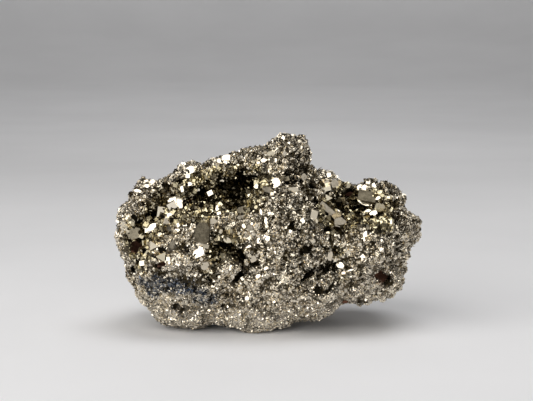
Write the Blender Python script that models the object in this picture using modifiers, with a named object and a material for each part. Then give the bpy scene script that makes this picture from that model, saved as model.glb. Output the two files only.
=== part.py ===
"""A raw lump of pyrite, about 90 mm long, resting on small flat feet.

The lump is one solid: swellings grown into each other, with ledges, cracks, pits and
crystals that stand on its outside. Two hollows in its front are lined by crusts of
larger crystals, which are solids of their own. Metres, +Z up, the front faces -Y, and
the origin is on the ground under the middle of the lump.
"""

import math
import random

import bmesh
import bpy
from mathutils import Euler, Matrix, Vector, noise
from mathutils.bvhtree import BVHTree

MM = 0.001

# Overall sizes in millimetres.
LENGTH = 90.0
DEPTH = 58.0
SKIN = 0.5  # the lump is drawn this much small, to leave room for its finest grains
GAP = 0.45  # the crusts lie this far inside the walls of their hollows
CRUST = 1.1  # thickness of a crust between its crystals
ROOT = 0.35  # the crystals of a crust start this far inside its back
RIM = 0.8  # and stay at least this far inside the lump's outer surface

# How finely the forms are drawn.
LUMP_VOXEL = 1.3
LUMP_TRIANGLES = 2000
HOLLOW_VOXEL = 1.2
HOLLOW_TRIANGLES = {"left": 240, "right": 150, "pocket": 100}
SMOOTHING = 0.5
SMOOTHING_ROUNDS = 2
RELIEF_MIDDLE = 0.45  # the cell distance at which the relief neither rises nor sinks
OCTAHEDRON_RADIUS = 0.62  # of a crystal's size, so that it's about as big as a cube
TRIES = 30  # places tried for every crystal that is scattered

# Swellings of the lump: name, centre and half-axes in millimetres.
SWELLINGS = {
    "left_core": ((-17.0, 1.0, 23.5), (25.0, 24.0, 20.0)),
    "right_core": ((17.0, 2.0, 24.5), (23.0, 23.0, 17.0)),
    "belly": ((3.5, -12.5, 24.0), (16.0, 15.5, 20.0)),
    "left_shelf": ((-20.0, -12.0, 20.0), (18.0, 14.5, 14.0)),
    "left_end": ((-36.0, -3.0, 25.0), (8.0, 14.0, 14.0)),
    "left_cheek": ((-30.5, -8.0, 15.5), (8.5, 11.0, 11.5)),
    "left_top": ((-34.5, -7.0, 37.0), (6.0, 8.0, 6.5)),
    "second_top": ((-22.8, -6.0, 42.2), (7.0, 9.0, 6.5)),
    "third_top": ((-11.5, -5.0, 44.0), (7.0, 9.0, 6.5)),
    "upper_middle": ((-3.0, -5.0, 46.0), (6.0, 8.0, 6.0)),
    "summit": ((5.5, -3.0, 46.8), (7.6, 9.5, 9.0)),
    "summit_shoulder": ((9.5, -9.0, 38.0), (6.5, 9.0, 8.0)),
    "right_middle": ((18.5, -4.0, 39.0), (6.0, 8.5, 6.5)),
    "right_top": ((32.5, -2.0, 36.0), (8.0, 10.0, 6.5)),
    "right_edge": ((38.5, -3.0, 29.0), (6.5, 11.0, 7.0)),
    "right_belly": ((28.0, -10.0, 24.0), (11.0, 13.0, 12.0)),
    "right_low": ((31.0, -5.0, 16.5), (9.0, 13.0, 9.5)),
    "right_keel": ((12.5, -9.0, 10.6), (9.5, 11.5, 9.0)),
    "right_bridge": ((24.0, -4.0, 14.5), (9.0, 12.0, 8.5)),
    "middle_keel": ((-3.0, -10.5, 6.6), (13.0, 9.5, 8.0)),
    "left_keel": ((-22.5, -7.0, 7.9), (11.0, 11.5, 9.4)),
    "back_core": ((-2.0, 11.0, 17.5), (27.0, 14.0, 15.0)),
    "back_keel": ((8.0, 13.0, 7.4), (12.0, 10.0, 9.0)),
    "back_left_keel": ((-15.0, 12.0, 8.6), (12.0, 9.5, 10.0)),
    "back_hump": ((-4.0, 14.5, 33.0), (14.0, 13.0, 13.0)),
    "back_left": ((-24.0, 12.5, 30.0), (11.0, 12.0, 11.0)),
    "back_left_low": ((-29.0, 11.0, 18.0), (10.0, 11.0, 10.0)),
    "back_right": ((19.0, 15.5, 29.0), (11.0, 12.0, 11.0)),
    "back_right_low": ((27.0, 10.0, 19.0), (12.0, 13.0, 10.5)),
    "back_ledge": ((4.0, 21.0, 20.0), (10.0, 7.5, 6.0)),
    "small_lump": ((-10.5, -23.0, 21.0), (4.2, 4.5, 4.0)),
    "low_lump": ((14.0, -19.5, 14.0), (7.0, 6.0, 5.5)),
}

# Botryoidal relief: cell size and height of each layer, in millimetres.
BUMP_LAYERS = ((9.0, 1.7), (4.6, 0.8))
HOLLOW_LAYERS = ((6.5, 1.5),)

LEFT_HOLLOW = {
    "lower_pocket": ((-35.5, -18.0, 26.0), (5.4, 10.0, 6.4)),
    "left_end": ((-33.5, -17.0, 34.0), (6.6, 11.0, 5.6)),
    "left_run": ((-27.0, -18.0, 36.5), (7.0, 12.0, 6.0)),
    "middle_run": ((-19.5, -17.5, 38.3), (7.5, 13.0, 6.4)),
    "right_run": ((-12.0, -15.5, 39.8), (7.0, 13.0, 7.0)),
    "deep_end": ((-5.5, -13.5, 41.0), (6.2, 14.0, 7.6)),
}
RIGHT_HOLLOW = {
    "left_end": ((18.5, -17.0, 33.5), (5.0, 8.0, 5.0)),
    "deep_end": ((24.0, -12.5, 35.8), (6.4, 11.0, 6.6)),
    "right_run": ((30.0, -13.0, 33.5), (6.0, 9.5, 5.8)),
}
CENTRE_POCKET = {
    "upper": ((-11.5, -26.0, 27.5), (5.2, 6.5, 3.6)),
    "lower": ((-6.5, -26.5, 24.0), (3.4, 6.0, 4.0)),
}

# Cracks: points (x, z) along each crack, its half-width and its depth.
CRACKS = {
    "belly_crack": (((-7.3, 24.5), (-4.6, 22.0), (-4.4, 20.0), (-8.5, 16.8)), 0.9, 3.4),
    "low_crack": (((9.8, 16.8), (12.8, 18.8), (16.5, 20.6), (19.6, 20.6)), 0.9, 3.6),
    "summit_slit": (((5.0, 44.5), (7.2, 45.6), (9.4, 44.9)), 0.8, 2.6),
}

# Pits and the moulds that lost crystals left: (x, z), width, depth, kind.
PITS = {
    "square_pit": ((15.0, 13.6), 3.0, 3.0, "cube"),
    "octahedral_pit": ((34.0, 15.2), 4.2, 3.2, "octahedron"),
    "round_pit": ((15.0, 38.6), 2.4, 3.0, "octahedron"),
    "belly_pit": ((11.3, 25.8), 3.0, 2.2, "octahedron"),
    "low_left_pit": ((-25.5, 7.5), 3.4, 2.0, "octahedron"),
    "lower_pit": ((8.8, 14.0), 1.8, 2.0, "cube"),
}

# Single crystals that stand out: (x, z), size, kind and turn in degrees about X, Y, Z.
# The depth of each is found on the surface.
CRYSTALS = {
    "grey_slab": ((-19.0, 32.6), 5.6, "cube", (20, 12, -14)),
    "white_block": ((-20.4, 25.8), 3.6, "cube", (38, 10, 24)),
    "lilac_block": ((-18.4, 22.2), 3.0, "cube", (15, 30, 8)),
    "kidney_block": ((-33.8, 31.4), 3.2, "cube", (42, 20, 15)),
    "left_face": ((-39.2, 30.2), 3.6, "truncated", (10, 5, -34)),
    "shelf_block_a": ((-31.0, 24.2), 3.0, "cube", (35, 40, 10)),
    "shelf_block_b": ((-32.8, 20.6), 2.6, "truncated", (12, 30, 35)),
    "second_top_block": ((-22.4, 45.6), 3.4, "truncated", (40, 15, 10)),
    "third_top_block": ((-11.8, 47.6), 3.2, "truncated", (42, 10, -12)),
    "belly_hexagon": ((2.4, 46.4), 3.4, "truncated", (45, 0, 35)),
    "slit_block": ((8.0, 43.0), 3.4, "cube", (48, 6, 10)),
    "summit_block": ((-0.6, 49.0), 2.8, "cube", (30, 25, 12)),
    "right_big_cube": ((29.2, 39.6), 5.0, "cube", (14, 8, -16)),
    "right_white_block": ((30.8, 41.0), 3.0, "truncated", (42, 12, 8)),
    "right_small_block": ((33.6, 40.4), 2.6, "cube", (35, 20, 40)),
    "blade_end": ((21.4, 34.6), 4.0, "truncated", (30, 10, 25)),
    "blade_block": ((18.4, 37.8), 3.2, "cube", (25, 40, 10)),
    "low_right_face": ((18.6, 25.6), 3.2, "cube", (20, 25, 40)),
    "low_right_glint": ((21.6, 23.6), 3.0, "truncated", (40, 5, 10)),
    "middle_shelf_block": ((-14.6, 33.8), 3.4, "cube", (30, 30, 20)),
}

SMALL_CRYSTALS = 118
SMALL_SIZE = (2.0, 3.8)
SMALL_SPACING = 5.4
SMALL_SEED = 11
FOOT_CLEAR = 4.0  # no small crystal has its middle lower than this

# How deep a crystal's middle lies under the surface that it grew on, in crystal sizes.
NAMED_SUNK = 0.18
SMALL_SUNK = 0.25
LINING_SUNK = 0.1

# Crystals of each crust: how many, their sizes and how far apart.
CRUST_CRYSTALS = {"left": 34, "right": 20}
CRUST_SIZE = (2.2, 3.8)
CRUST_SPACING = 3.3
CRUST_SEED = {"left": 5, "right": 8}

# Crystals grown on the wall of the pocket in the middle.
POCKET_CRYSTALS = 9
POCKET_SPACING = 2.4
POCKET_SEED = 3


def clear_scene():
    for thing in list(bpy.data.objects):
        bpy.data.objects.remove(thing, do_unlink=True)


def collection(name):
    made = bpy.data.collections.new(name)
    bpy.context.scene.collection.children.link(made)
    return made


def object_from(bm, name, group):
    mesh = bpy.data.meshes.new(name)
    bm.to_mesh(mesh)
    bm.free()
    made = bpy.data.objects.new(name, mesh)
    group.objects.link(made)
    return made


def settle(thing):
    """Puts the object's evaluated mesh in the place of its own mesh and modifiers."""
    bpy.context.view_layer.update()
    graph = bpy.context.evaluated_depsgraph_get()
    mesh = bpy.data.meshes.new_from_object(thing.evaluated_get(graph))
    thing.modifiers.clear()
    thing.data = mesh


def copy_of(thing, name, group):
    made = bpy.data.objects.new(name, thing.data.copy())
    group.objects.link(made)
    return made


def combine(thing, other, operation):
    """A Boolean of two objects, settled. Solids that overlap inside either one join."""
    cut = thing.modifiers.new(operation.lower(), "BOOLEAN")
    cut.operation = operation
    cut.solver = "EXACT"
    cut.use_self = True
    cut.object = other
    settle(thing)


def joined(thing, voxel):
    """Grows overlapping solids into one skin."""
    grow = thing.modifiers.new("join", "REMESH")
    grow.mode = "VOXEL"
    grow.voxel_size = voxel * MM
    even = thing.modifiers.new("even", "SMOOTH")
    even.factor = SMOOTHING
    even.iterations = SMOOTHING_ROUNDS
    settle(thing)


def thin(thing, triangles):
    now = sum(len(face.vertices) - 2 for face in thing.data.polygons)
    if now > triangles:
        fewer = thing.modifiers.new("fewer", "DECIMATE")
        fewer.ratio = triangles / now
        fewer.use_collapse_triangulate = True
        settle(thing)


def ellipsoids(parts, name, group):
    """The ellipsoids of a table, overlapping in one object."""
    bm = bmesh.new()
    for centre, half_axes in parts.values():
        place = Matrix.Translation(Vector(centre) * MM)
        shape = Matrix.Diagonal((*[axis * MM for axis in half_axes], 1.0))
        bmesh.ops.create_icosphere(bm, subdivisions=3, radius=1.0, matrix=place @ shape)
    return object_from(bm, name, group)


def relief(point, layers):
    """Height of the rounded, grape-like relief at a point, in metres."""
    height = 0.0
    for cell, rise in layers:
        near = noise.voronoi(point / (cell * MM))[0][0]
        height += rise * (RELIEF_MIDDLE - near) * MM
    return height


def grown(thing, layers, skin, voxel, triangles):
    """Grows an object's ellipsoids together, with a rounded relief and few triangles."""
    joined(thing, voxel)
    normals = [vertex.normal.copy() for vertex in thing.data.vertices]
    for vertex, normal in zip(thing.data.vertices, normals, strict=True):
        vertex.co += normal * (relief(vertex.co, layers) - skin * MM)
    thin(thing, triangles)


def lump(group):
    made = ellipsoids(SWELLINGS, "pyrite_mass", group)
    grown(made, BUMP_LAYERS, SKIN, LUMP_VOXEL, LUMP_TRIANGLES)
    return made


def hollow_cutter(parts, name, group):
    made = ellipsoids(parts, name + "_hollow", group)
    grown(made, HOLLOW_LAYERS, 0.0, HOLLOW_VOXEL, HOLLOW_TRIANGLES[name])
    return made


def shrunk(thing, distance, name, group):
    """A copy whose skin lies a distance in millimetres inside the first one's."""
    made = copy_of(thing, name, group)
    normals = [vertex.normal.copy() for vertex in made.data.vertices]
    for vertex, normal in zip(made.data.vertices, normals, strict=True):
        vertex.co -= normal * distance * MM
    return made


def add_cube(bm, place):
    bmesh.ops.create_cube(bm, size=1.0, matrix=place)


def add_octahedron(bm, place):
    radius = OCTAHEDRON_RADIUS
    bmesh.ops.create_uvsphere(bm, u_segments=4, v_segments=2, radius=radius, matrix=place)


def add_truncated(bm, place, corner=0.5):
    """A cube whose corners are cut off by the faces of an octahedron."""
    half = 0.5
    points = []
    for signs in ((x, y, z) for x in (-1, 1) for y in (-1, 1) for z in (-1, 1)):
        for axis in range(3):
            point = Vector(signs) * half
            point[axis] -= signs[axis] * corner
            points.append(bm.verts.new(place @ point))
    bmesh.ops.remove_doubles(bm, verts=points, dist=0.01 * MM)
    points = [point for point in points if point.is_valid]
    hull = bmesh.ops.convex_hull(bm, input=points)
    loose = [item for item in hull["geom_interior"] if isinstance(item, bmesh.types.BMVert)]
    bmesh.ops.delete(bm, geom=loose, context="VERTS")


ADD = {"cube": add_cube, "octahedron": add_octahedron, "truncated": add_truncated}
KINDS = ("cube", "cube", "cube", "octahedron")


def placed(centre, turn, sides):
    return Matrix.LocRotScale(centre, turn, Vector(sides))


def add_crystal(bm, kind, centre, turn, size):
    """One crystal of a kind, with its middle at centre and its size in millimetres."""
    ADD[kind](bm, placed(centre, turn, (size * MM, size * MM, size * MM)))


def front_of(tree, x, z):
    """The point and normal where a line along +Y first meets the surface."""
    start = Vector((x * MM, -DEPTH * MM, z * MM))
    point, normal, _, _ = tree.ray_cast(start, Vector((0.0, 1.0, 0.0)))
    return point, normal


def tree_of(thing):
    bm = bmesh.new()
    bm.from_mesh(thing.data)
    tree = BVHTree.FromBMesh(bm)
    bm.free()
    return tree


def named_crystals(tree, bm):
    """The single crystals, each with its middle a little inside the surface."""
    for (x, z), size, kind, turn in CRYSTALS.values():
        point, normal = front_of(tree, x, z)
        angles = Euler([math.radians(angle) for angle in turn]).to_quaternion()
        add_crystal(bm, kind, point - normal * size * NAMED_SUNK * MM, angles, size)


def spots(thing, count, spacing, rng):
    """Points spread over an object's surface, no two closer than the spacing."""
    thing.data.calc_loop_triangles()
    faces = list(thing.data.loop_triangles)
    areas = [face.area for face in faces]
    found = []
    for face in rng.choices(faces, areas, k=count * TRIES):
        a, b, c = (thing.data.vertices[index].co for index in face.vertices)
        u, v = rng.random(), rng.random()
        if u + v > 1.0:
            u, v = 1.0 - u, 1.0 - v
        point = a + (b - a) * u + (c - a) * v
        if all((point - other).length > spacing * MM for other, _ in found):
            found.append((point, face.normal.copy()))
        if len(found) == count:
            break
    return found


def any_turn(rng):
    return Euler([rng.uniform(0.0, math.tau) for _ in range(3)]).to_quaternion()


def small_crystals(base, bm):
    """Seeded crystals over the whole outside, except where they'd reach the ground."""
    rng = random.Random(SMALL_SEED)
    for point, normal in spots(base, SMALL_CRYSTALS, SMALL_SPACING, rng):
        size = rng.uniform(*SMALL_SIZE)
        kind = rng.choice(KINDS)
        turn = any_turn(rng)
        if point.z > FOOT_CLEAR * MM:
            add_crystal(bm, kind, point - normal * size * SMALL_SUNK * MM, turn, size)


def crack_cutter(path, half_width, depth, tree, bm):
    """Flattened solids strung along a crack, deep and narrow at the surface."""
    for (x0, z0), (x1, z1) in zip(path, path[1:], strict=False):
        x, z = (x0 + x1) / 2, (z0 + z1) / 2
        point, _ = front_of(tree, x, z)
        run = math.hypot(x1 - x0, z1 - z0)
        turn = Euler((0.0, -math.atan2(z1 - z0, x1 - x0), 0.0)).to_quaternion()
        sides = (run * 0.75 * MM, depth * MM, half_width * MM)
        shape = placed(point, turn, sides)
        bmesh.ops.create_uvsphere(bm, u_segments=6, v_segments=4, radius=1.0, matrix=shape)


def pits_and_cracks(tree, group):
    bm = bmesh.new()
    for path, half_width, depth in CRACKS.values():
        crack_cutter(path, half_width, depth, tree, bm)
    for (x, z), width, depth, kind in PITS.values():
        point, normal = front_of(tree, x, z)
        turn = normal.to_track_quat("Z", "Y")
        ADD[kind](bm, placed(point, turn, (width * MM, width * MM, 2 * depth * MM)))
    return object_from(bm, "pits_and_cracks", group)


def ground_cutter(group):
    bm = bmesh.new()
    wide = 2 * LENGTH * MM
    place = Matrix.Translation((0.0, 0.0, -wide / 2))
    bmesh.ops.create_cube(bm, size=wide, matrix=place)
    return object_from(bm, "ground", group)


def lining_crystals(wall, base, seed, count, spacing, group):
    """Seeded crystals on the part of a hollow's wall that lies inside the lump."""
    rng = random.Random(seed)
    bm = bmesh.new()
    body = tree_of(base)
    for point, normal in spots(wall, 4 * count, spacing, rng):
        size = rng.uniform(*CRUST_SIZE)
        kind = rng.choice(KINDS)
        turn = any_turn(rng)
        if count > 0 and depth_inside(body, point) > RIM * MM:
            count -= 1
            add_crystal(bm, kind, point - normal * size * LINING_SUNK * MM, turn, size)
    return object_from(bm, "lining_crystals", group)


def crust(name, cutter, base, side, groups):
    """A shell inside a hollow with crystals on it that point into the hollow."""
    parts, cutters = groups
    made = shrunk(cutter, GAP, name, parts)
    bed = shrunk(cutter, GAP + ROOT, "crust_bed", cutters)
    inside = shrunk(cutter, GAP + CRUST, "crust_inside", cutters)
    joined(inside, HOLLOW_VOXEL)
    thin(inside, HOLLOW_TRIANGLES[side])
    crystals = lining_crystals(
        inside, base, CRUST_SEED[side], CRUST_CRYSTALS[side], CRUST_SPACING, cutters
    )
    combine(crystals, bed, "INTERSECT")
    combine(made, inside, "DIFFERENCE")
    combine(made, crystals, "UNION")
    combine(made, base, "INTERSECT")
    keep_largest(made)
    return made


def depth_inside(tree, point):
    """How far a point lies inside a closed surface, negative outside."""
    near, normal, _, distance = tree.find_nearest(point)
    return distance if (near - point).dot(normal) > 0 else -distance


def keep_largest(thing):
    """Drops the crumbs that a cut leaves, keeping the largest body."""
    bm = bmesh.new()
    bm.from_mesh(thing.data)
    left = set(bm.faces)
    bodies = []
    while left:
        body = set()
        edge_of_body = [left.pop()]
        while edge_of_body:
            face = edge_of_body.pop()
            body.add(face)
            for edge in face.edges:
                for other in edge.link_faces:
                    if other in left:
                        left.discard(other)
                        edge_of_body.append(other)
        bodies.append(body)
    bodies.sort(key=len)
    crumbs = [face for body in bodies[:-1] for face in body]
    bmesh.ops.delete(bm, geom=crumbs, context="FACES")
    bmesh.ops.triangulate(bm, faces=bm.faces)
    bm.to_mesh(thing.data)
    bm.free()


def weld(thing, distance=0.002):
    """Merges corners that a cut left closer than a distance in millimetres."""
    bm = bmesh.new()
    bm.from_mesh(thing.data)
    bmesh.ops.remove_doubles(bm, verts=bm.verts, dist=distance * MM)
    bmesh.ops.dissolve_degenerate(bm, edges=bm.edges, dist=distance * MM)
    flat = math.radians(0.5)
    bmesh.ops.dissolve_limit(bm, angle_limit=flat, verts=bm.verts, edges=bm.edges)
    bmesh.ops.triangulate(bm, faces=bm.faces)
    bm.to_mesh(thing.data)
    bm.free()


def centre(things):
    """Moves the meshes so that the lump's box is centred over the origin."""
    corners = [vertex.co for thing in things for vertex in thing.data.vertices]
    middle = Vector((0.0, 0.0, 0.0))
    for axis in range(2):
        along = [corner[axis] for corner in corners]
        middle[axis] = (min(along) + max(along)) / 2
    for thing in things:
        thing.data.transform(Matrix.Translation(-middle))


def finish(name, colour, roughness):
    made = bpy.data.materials.new(name)
    made.use_nodes = True
    shader = made.node_tree.nodes["Principled BSDF"]
    shader.inputs["Base Color"].default_value = (*colour, 1.0)
    shader.inputs["Metallic"].default_value = 1.0
    shader.inputs["Roughness"].default_value = roughness
    made.diffuse_color = (*colour, 1.0)
    return made


def dress(thing, material):
    thing.data.materials.clear()
    thing.data.materials.append(material)


def main():
    clear_scene()
    parts, cutters = collection("raw_pyrite"), collection("cutters")

    mass = lump(parts)
    combine(mass, ground_cutter(cutters), "DIFFERENCE")
    base = copy_of(mass, "base", cutters)
    tree = tree_of(base)

    bm = bmesh.new()
    named_crystals(tree, bm)
    small_crystals(base, bm)
    crystals = object_from(bm, "outer_crystals", cutters)
    combine(mass, crystals, "UNION")

    left = hollow_cutter(LEFT_HOLLOW, "left", cutters)
    right = hollow_cutter(RIGHT_HOLLOW, "right", cutters)
    pocket = hollow_cutter(CENTRE_POCKET, "pocket", cutters)
    for cutter in (left, right, pocket):
        combine(mass, cutter, "DIFFERENCE")
    lining = lining_crystals(pocket, base, POCKET_SEED, POCKET_CRYSTALS, POCKET_SPACING, cutters)
    combine(mass, lining, "UNION")
    combine(mass, pits_and_cracks(tree, cutters), "DIFFERENCE")
    keep_largest(mass)
    weld(mass)

    groups = (parts, cutters)
    left_crust = crust("left_hollow_crystals", left, base, "left", groups)
    right_crust = crust("right_hollow_crystals", right, base, "right", groups)
    for thing in (left_crust, right_crust):
        weld(thing)
    centre((mass, left_crust, right_crust))
    for helper in list(cutters.objects):
        bpy.data.objects.remove(helper, do_unlink=True)

    dress(mass, finish("pyrite", (0.56, 0.51, 0.40), 0.34))
    golden = finish("golden_pyrite", (0.50, 0.41, 0.20), 0.26)
    dress(left_crust, golden)
    dress(right_crust, golden)


main()
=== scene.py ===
"""Dresses the solids of a raw lump of pyrite with its crystals, its colours and its light.

A bumpy skin takes the solids' form, and small crystals with flat faces grow on it all
over: fine grains outside, larger golden crystals in the hollows, and single large ones.
"""

import math

import bmesh
import bpy
import numpy as np
from mathutils import Euler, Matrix, Quaternion, Vector, noise
from mathutils.bvhtree import BVHTree

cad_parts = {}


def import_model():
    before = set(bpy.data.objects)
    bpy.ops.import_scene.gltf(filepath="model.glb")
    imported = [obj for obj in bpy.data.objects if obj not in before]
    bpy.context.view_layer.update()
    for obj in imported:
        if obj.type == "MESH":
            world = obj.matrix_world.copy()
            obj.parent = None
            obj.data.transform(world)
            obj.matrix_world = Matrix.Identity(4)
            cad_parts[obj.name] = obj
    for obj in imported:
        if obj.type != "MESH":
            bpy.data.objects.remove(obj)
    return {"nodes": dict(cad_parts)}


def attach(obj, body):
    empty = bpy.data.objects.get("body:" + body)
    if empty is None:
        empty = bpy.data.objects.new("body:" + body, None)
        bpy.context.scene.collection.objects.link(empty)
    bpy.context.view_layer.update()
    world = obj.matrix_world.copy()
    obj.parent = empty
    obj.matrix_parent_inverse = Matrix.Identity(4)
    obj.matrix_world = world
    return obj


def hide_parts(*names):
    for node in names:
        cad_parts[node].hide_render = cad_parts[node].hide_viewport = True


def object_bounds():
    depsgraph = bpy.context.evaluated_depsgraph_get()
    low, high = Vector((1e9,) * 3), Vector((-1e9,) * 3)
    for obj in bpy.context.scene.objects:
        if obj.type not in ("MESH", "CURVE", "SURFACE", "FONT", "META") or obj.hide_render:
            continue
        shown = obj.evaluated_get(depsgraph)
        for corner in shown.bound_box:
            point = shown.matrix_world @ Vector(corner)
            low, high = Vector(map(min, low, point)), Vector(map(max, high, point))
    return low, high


MM = 0.001
TINY = 1e-20
MASS = "pyrite_mass"
LEFT = "left_hollow_crystals"
RIGHT = "right_hollow_crystals"

# The photograph's size in pixels and the camera that matches it.
PICTURE = (533, 401)
LENS = 100.0
SENSOR = 36.0
CAMERA = Vector((-0.00039, -0.42335, 0.08462))
CAMERA_TILT = 83.4

# The skin: how finely it follows the solids, and the bumps that it adds, as the size of
# their cells, their rise and the width of the gaps in parts of a cell.
SKIN_VOXEL = 0.52
SKIN_ROUNDS, SKIN_EVENING = 6, 0.5
SKIN_RISE = 0.22
BUMPS = ((6.0, 0.95, (0.05, 0.17)), (3.6, 0.55, (0.07, 0.22)), (2.0, 0.32, (0.05, 0.15)))
BUMP_MIDDLE = 0.42
HOLLOW_BUMPS = 0.35
FINE_CALM = 0.35

# Narrow gaps between the bumps, and gaps between the crystals of the hollows.
CREVICE_DEPTH = 1.3
HOLLOW_PIT_DEPTH = 1.5
PIT_GAP = 0.6  # how much of a gap a pit between crystals counts as

# Where noise opens the gaps and the pits.
OPENED = (-0.1, 0.2)
PITTED = (0.08, 0.42)
CELL_TWIST = (2.6, 0.16)  # the noise that bends the bumps: its scale in cells, and how far

# Rays that feel how enclosed a place is: how many, how long, from what height and how
# straight out. Then how often their result is evened, and the painted shade of places and gaps.
SHADE_RAYS = 9
SHADE_REACH = 16.0
SHADE_LIFT = 0.4
SHADE_OUTWARD = 1.02
SHADE_ROUNDS = 3
OWN_WEIGHT = 2.0  # of a place, where each of its neighbours has 1
PLACE_SHADE = 0.78
GAP_SHADE = 0.95

# Noise fields: the size of their features in millimetres, and a shift that sets them apart,
# which goes this far along each axis.
SHIFT_WAY = (1.0, 1.7, 0.6)
GOLDEN_EDGE = (3.5, 4.0)
FINE_HEIGHT = (9.0, 9.0)
FINE_EDGE = (2.0, 21.0)
BLUE_EDGE = (2.4, 15.0)
GAP_OPENING = (4.0, 12.0)
HOLLOW_PITS = (1.9, 51.0)
COARSER = (4.0, 61.0)
PATCHES = (1.2, 31.0)
WIDE_PATCHES = (5.0, 37.0)
TONE_PATCHES = (2.2, 71.0)

# Where gold ends around a crust, and how far edges wander, in millimetres.
CRUST_EDGE = (0.3, 1.9)
GOLDEN_WANDER = 1.2
BLUE_WANDER = 1.8
FINE_WANDER = 1.2

# Where the surface is finest: below these heights, and where it faces this far down.
FINE_HEIGHTS = (6.0, 13.0)
FINE_RISE = 2.5
FINE_FACING = (-0.1, -0.6)
FINE_UNDER = 0.8
FINE_PLACE = 0.85

# How marks are pressed in: where their slope starts and how straight back they go. Then
# where it ends, and how far a surface may face along the push, as a cosine.
DENT_PRESS = (0.3, 0.0)
MARK_PRESS = (0.55, 0.8)
MARK_EDGE = 1.25
MARK_FACING = 0.3
PLACE_FADE = (0.6, 1.25)  # where places fade out, in shares of their radius
NUDGE_FADE = (0.25, 1.5)
BOX_MARGIN = 0.2
BOX_EASE = 0.9

# The most triangles in one piece, and where the random draws and the moving noise start.
MOST_TRIANGLES = 180000
SEED = 20
NOISE_SEED = 5

# Patches in which crystals grow parallel: their size, the share that does and how nearly.
# Then how far a patch of grains leans, how much they differ in it both ways, and the step
# that sets the draws of the patches apart.
DOMAIN_SIZE = 1.8
DOMAIN_SHARE = 0.6
DOMAIN_SPREAD = 0.05
LEAN_PATCH, LEAN_SPREAD, ALONG_SPREAD = 1.5, 3.0, 0.12
DOMAIN_STEP = 97.0

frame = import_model()
solid_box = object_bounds()
rng = np.random.default_rng(SEED)
noise.seed_set(NOISE_SEED)


def arrays_of(mesh):
    """Corners, triangles and corner normals of a mesh."""
    mesh.calc_loop_triangles()
    made = []
    for rows, key, kind in (
        (mesh.vertices, "co", float),
        (mesh.loop_triangles, "vertices", np.int64),
        (mesh.vertices, "normal", float),
    ):
        values = np.empty(len(rows) * 3, dtype=kind)
        rows.foreach_get(key, values)
        made.append(values.reshape(-1, 3))
    return made


def tree_of(*meshes):
    bm = bmesh.new()
    for mesh in meshes:
        bm.from_mesh(mesh)
    tree = BVHTree.FromBMesh(bm)
    bm.free()
    return tree


def mesh_object(name, points, faces, attributes, material, flat=True):
    """A mesh from arrays, where faces is a list of arrays with one row for each face."""
    mesh = bpy.data.meshes.new(name)
    mesh.vertices.add(len(points))
    mesh.vertices.foreach_set("co", np.asarray(points, dtype=np.float32).ravel())
    corners = np.concatenate([rows.ravel() for rows in faces])
    sides = np.concatenate([np.full(len(rows), rows.shape[1]) for rows in faces])
    starts = np.concatenate(([0], np.cumsum(sides)[:-1]))
    mesh.loops.add(len(corners))
    mesh.loops.foreach_set("vertex_index", corners.astype(np.int32))
    mesh.polygons.add(len(sides))
    mesh.polygons.foreach_set("loop_start", starts.astype(np.int32))
    mesh.polygons.foreach_set("use_smooth", np.full(len(sides), not flat))
    for key, values in attributes.items():
        made = mesh.attributes.new(key, "FLOAT", "POINT")
        made.data.foreach_set("value", np.asarray(values, dtype=np.float32))
    mesh.update(calc_edges=True)
    mesh.validate()
    mesh.materials.append(material)
    thing = bpy.data.objects.new(name, mesh)
    bpy.context.scene.collection.objects.link(thing)
    return thing


crust_tree = tree_of(frame["nodes"][LEFT].data, frame["nodes"][RIGHT].data)
mass_tree = tree_of(*(frame["nodes"][node].data for node in (MASS, LEFT, RIGHT)))

# Places in the photograph with crystals of a kind, and their radius in millimetres.
GOLDEN_PLACES = {
    "middle_pocket": (227, 249, 5.6),
    "left_low_pocket": (148, 246, 6.0),
    "left_edge_pocket": (140, 264, 3.4),
    "right_low": (352, 224, 2.6),
    "under_lump": (209, 276, 1.8),
    "wall_pocket": (338, 252, 2.0),
    "by_low_crack": (344, 277, 2.0),
}
SILVER_PLACES = {
    "left_end": (130, 203, 4.6),
    "left_end_top": (146, 196, 3.0),
    "hollow_roof": (246, 158, 3.6),
    "ledge": (184, 238, 4.0),
    "right_rim": (372, 206, 1.6),
}
BLUE_PLACES = {
    "blue_left": (145, 284, 2.8),
    "blue_middle": (160, 284, 3.4),
    "blue_low": (174, 289, 3.2),
    "blue_teal": (189, 288, 2.8),
    "blue_end": (202, 301, 3.0),
    "blue_wide": (152, 291, 2.8),
    "blue_right": (203, 292, 1.7),
    "blue_far": (213, 300, 2.0),
}
SMOOTH_PLACES = {
    "ledge_front": (181, 263, 3.2),
    "ledge_left": (174, 268, 2.4),
    "ledge_top": (188, 232, 2.6),
    "ledge_side": (168, 236, 1.6),
    "round_lump": (228, 219, 2.0),
    "pocket_lump": (231, 268, 2.8),
    "right_lump": (367, 274, 2.0),
    "grey_middle": (250, 231, 1.6),
}
# Places of painted shadow: crystals here darken in colour, as where the summit casts its shadow and in
# shaded pockets.
SHADOW_PLACES = {
    "summit_side": (311, 188, 2.6),
    "shoulder": (306, 168, 1.6),
    "below_blade": (332, 229, 1.8),
    "beside_lilac": (309, 214, 2.0),
    "right_edge": (404, 226, 2.2),
    "left_edge": (130, 263, 2.0),
    "pocket_middle": (221, 253, 2.8),
    "pocket_side": (238, 238, 1.6),
    "left_low_pocket": (139, 254, 2.0),
    "hollow_end": (256, 190, 1.4),
}

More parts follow.
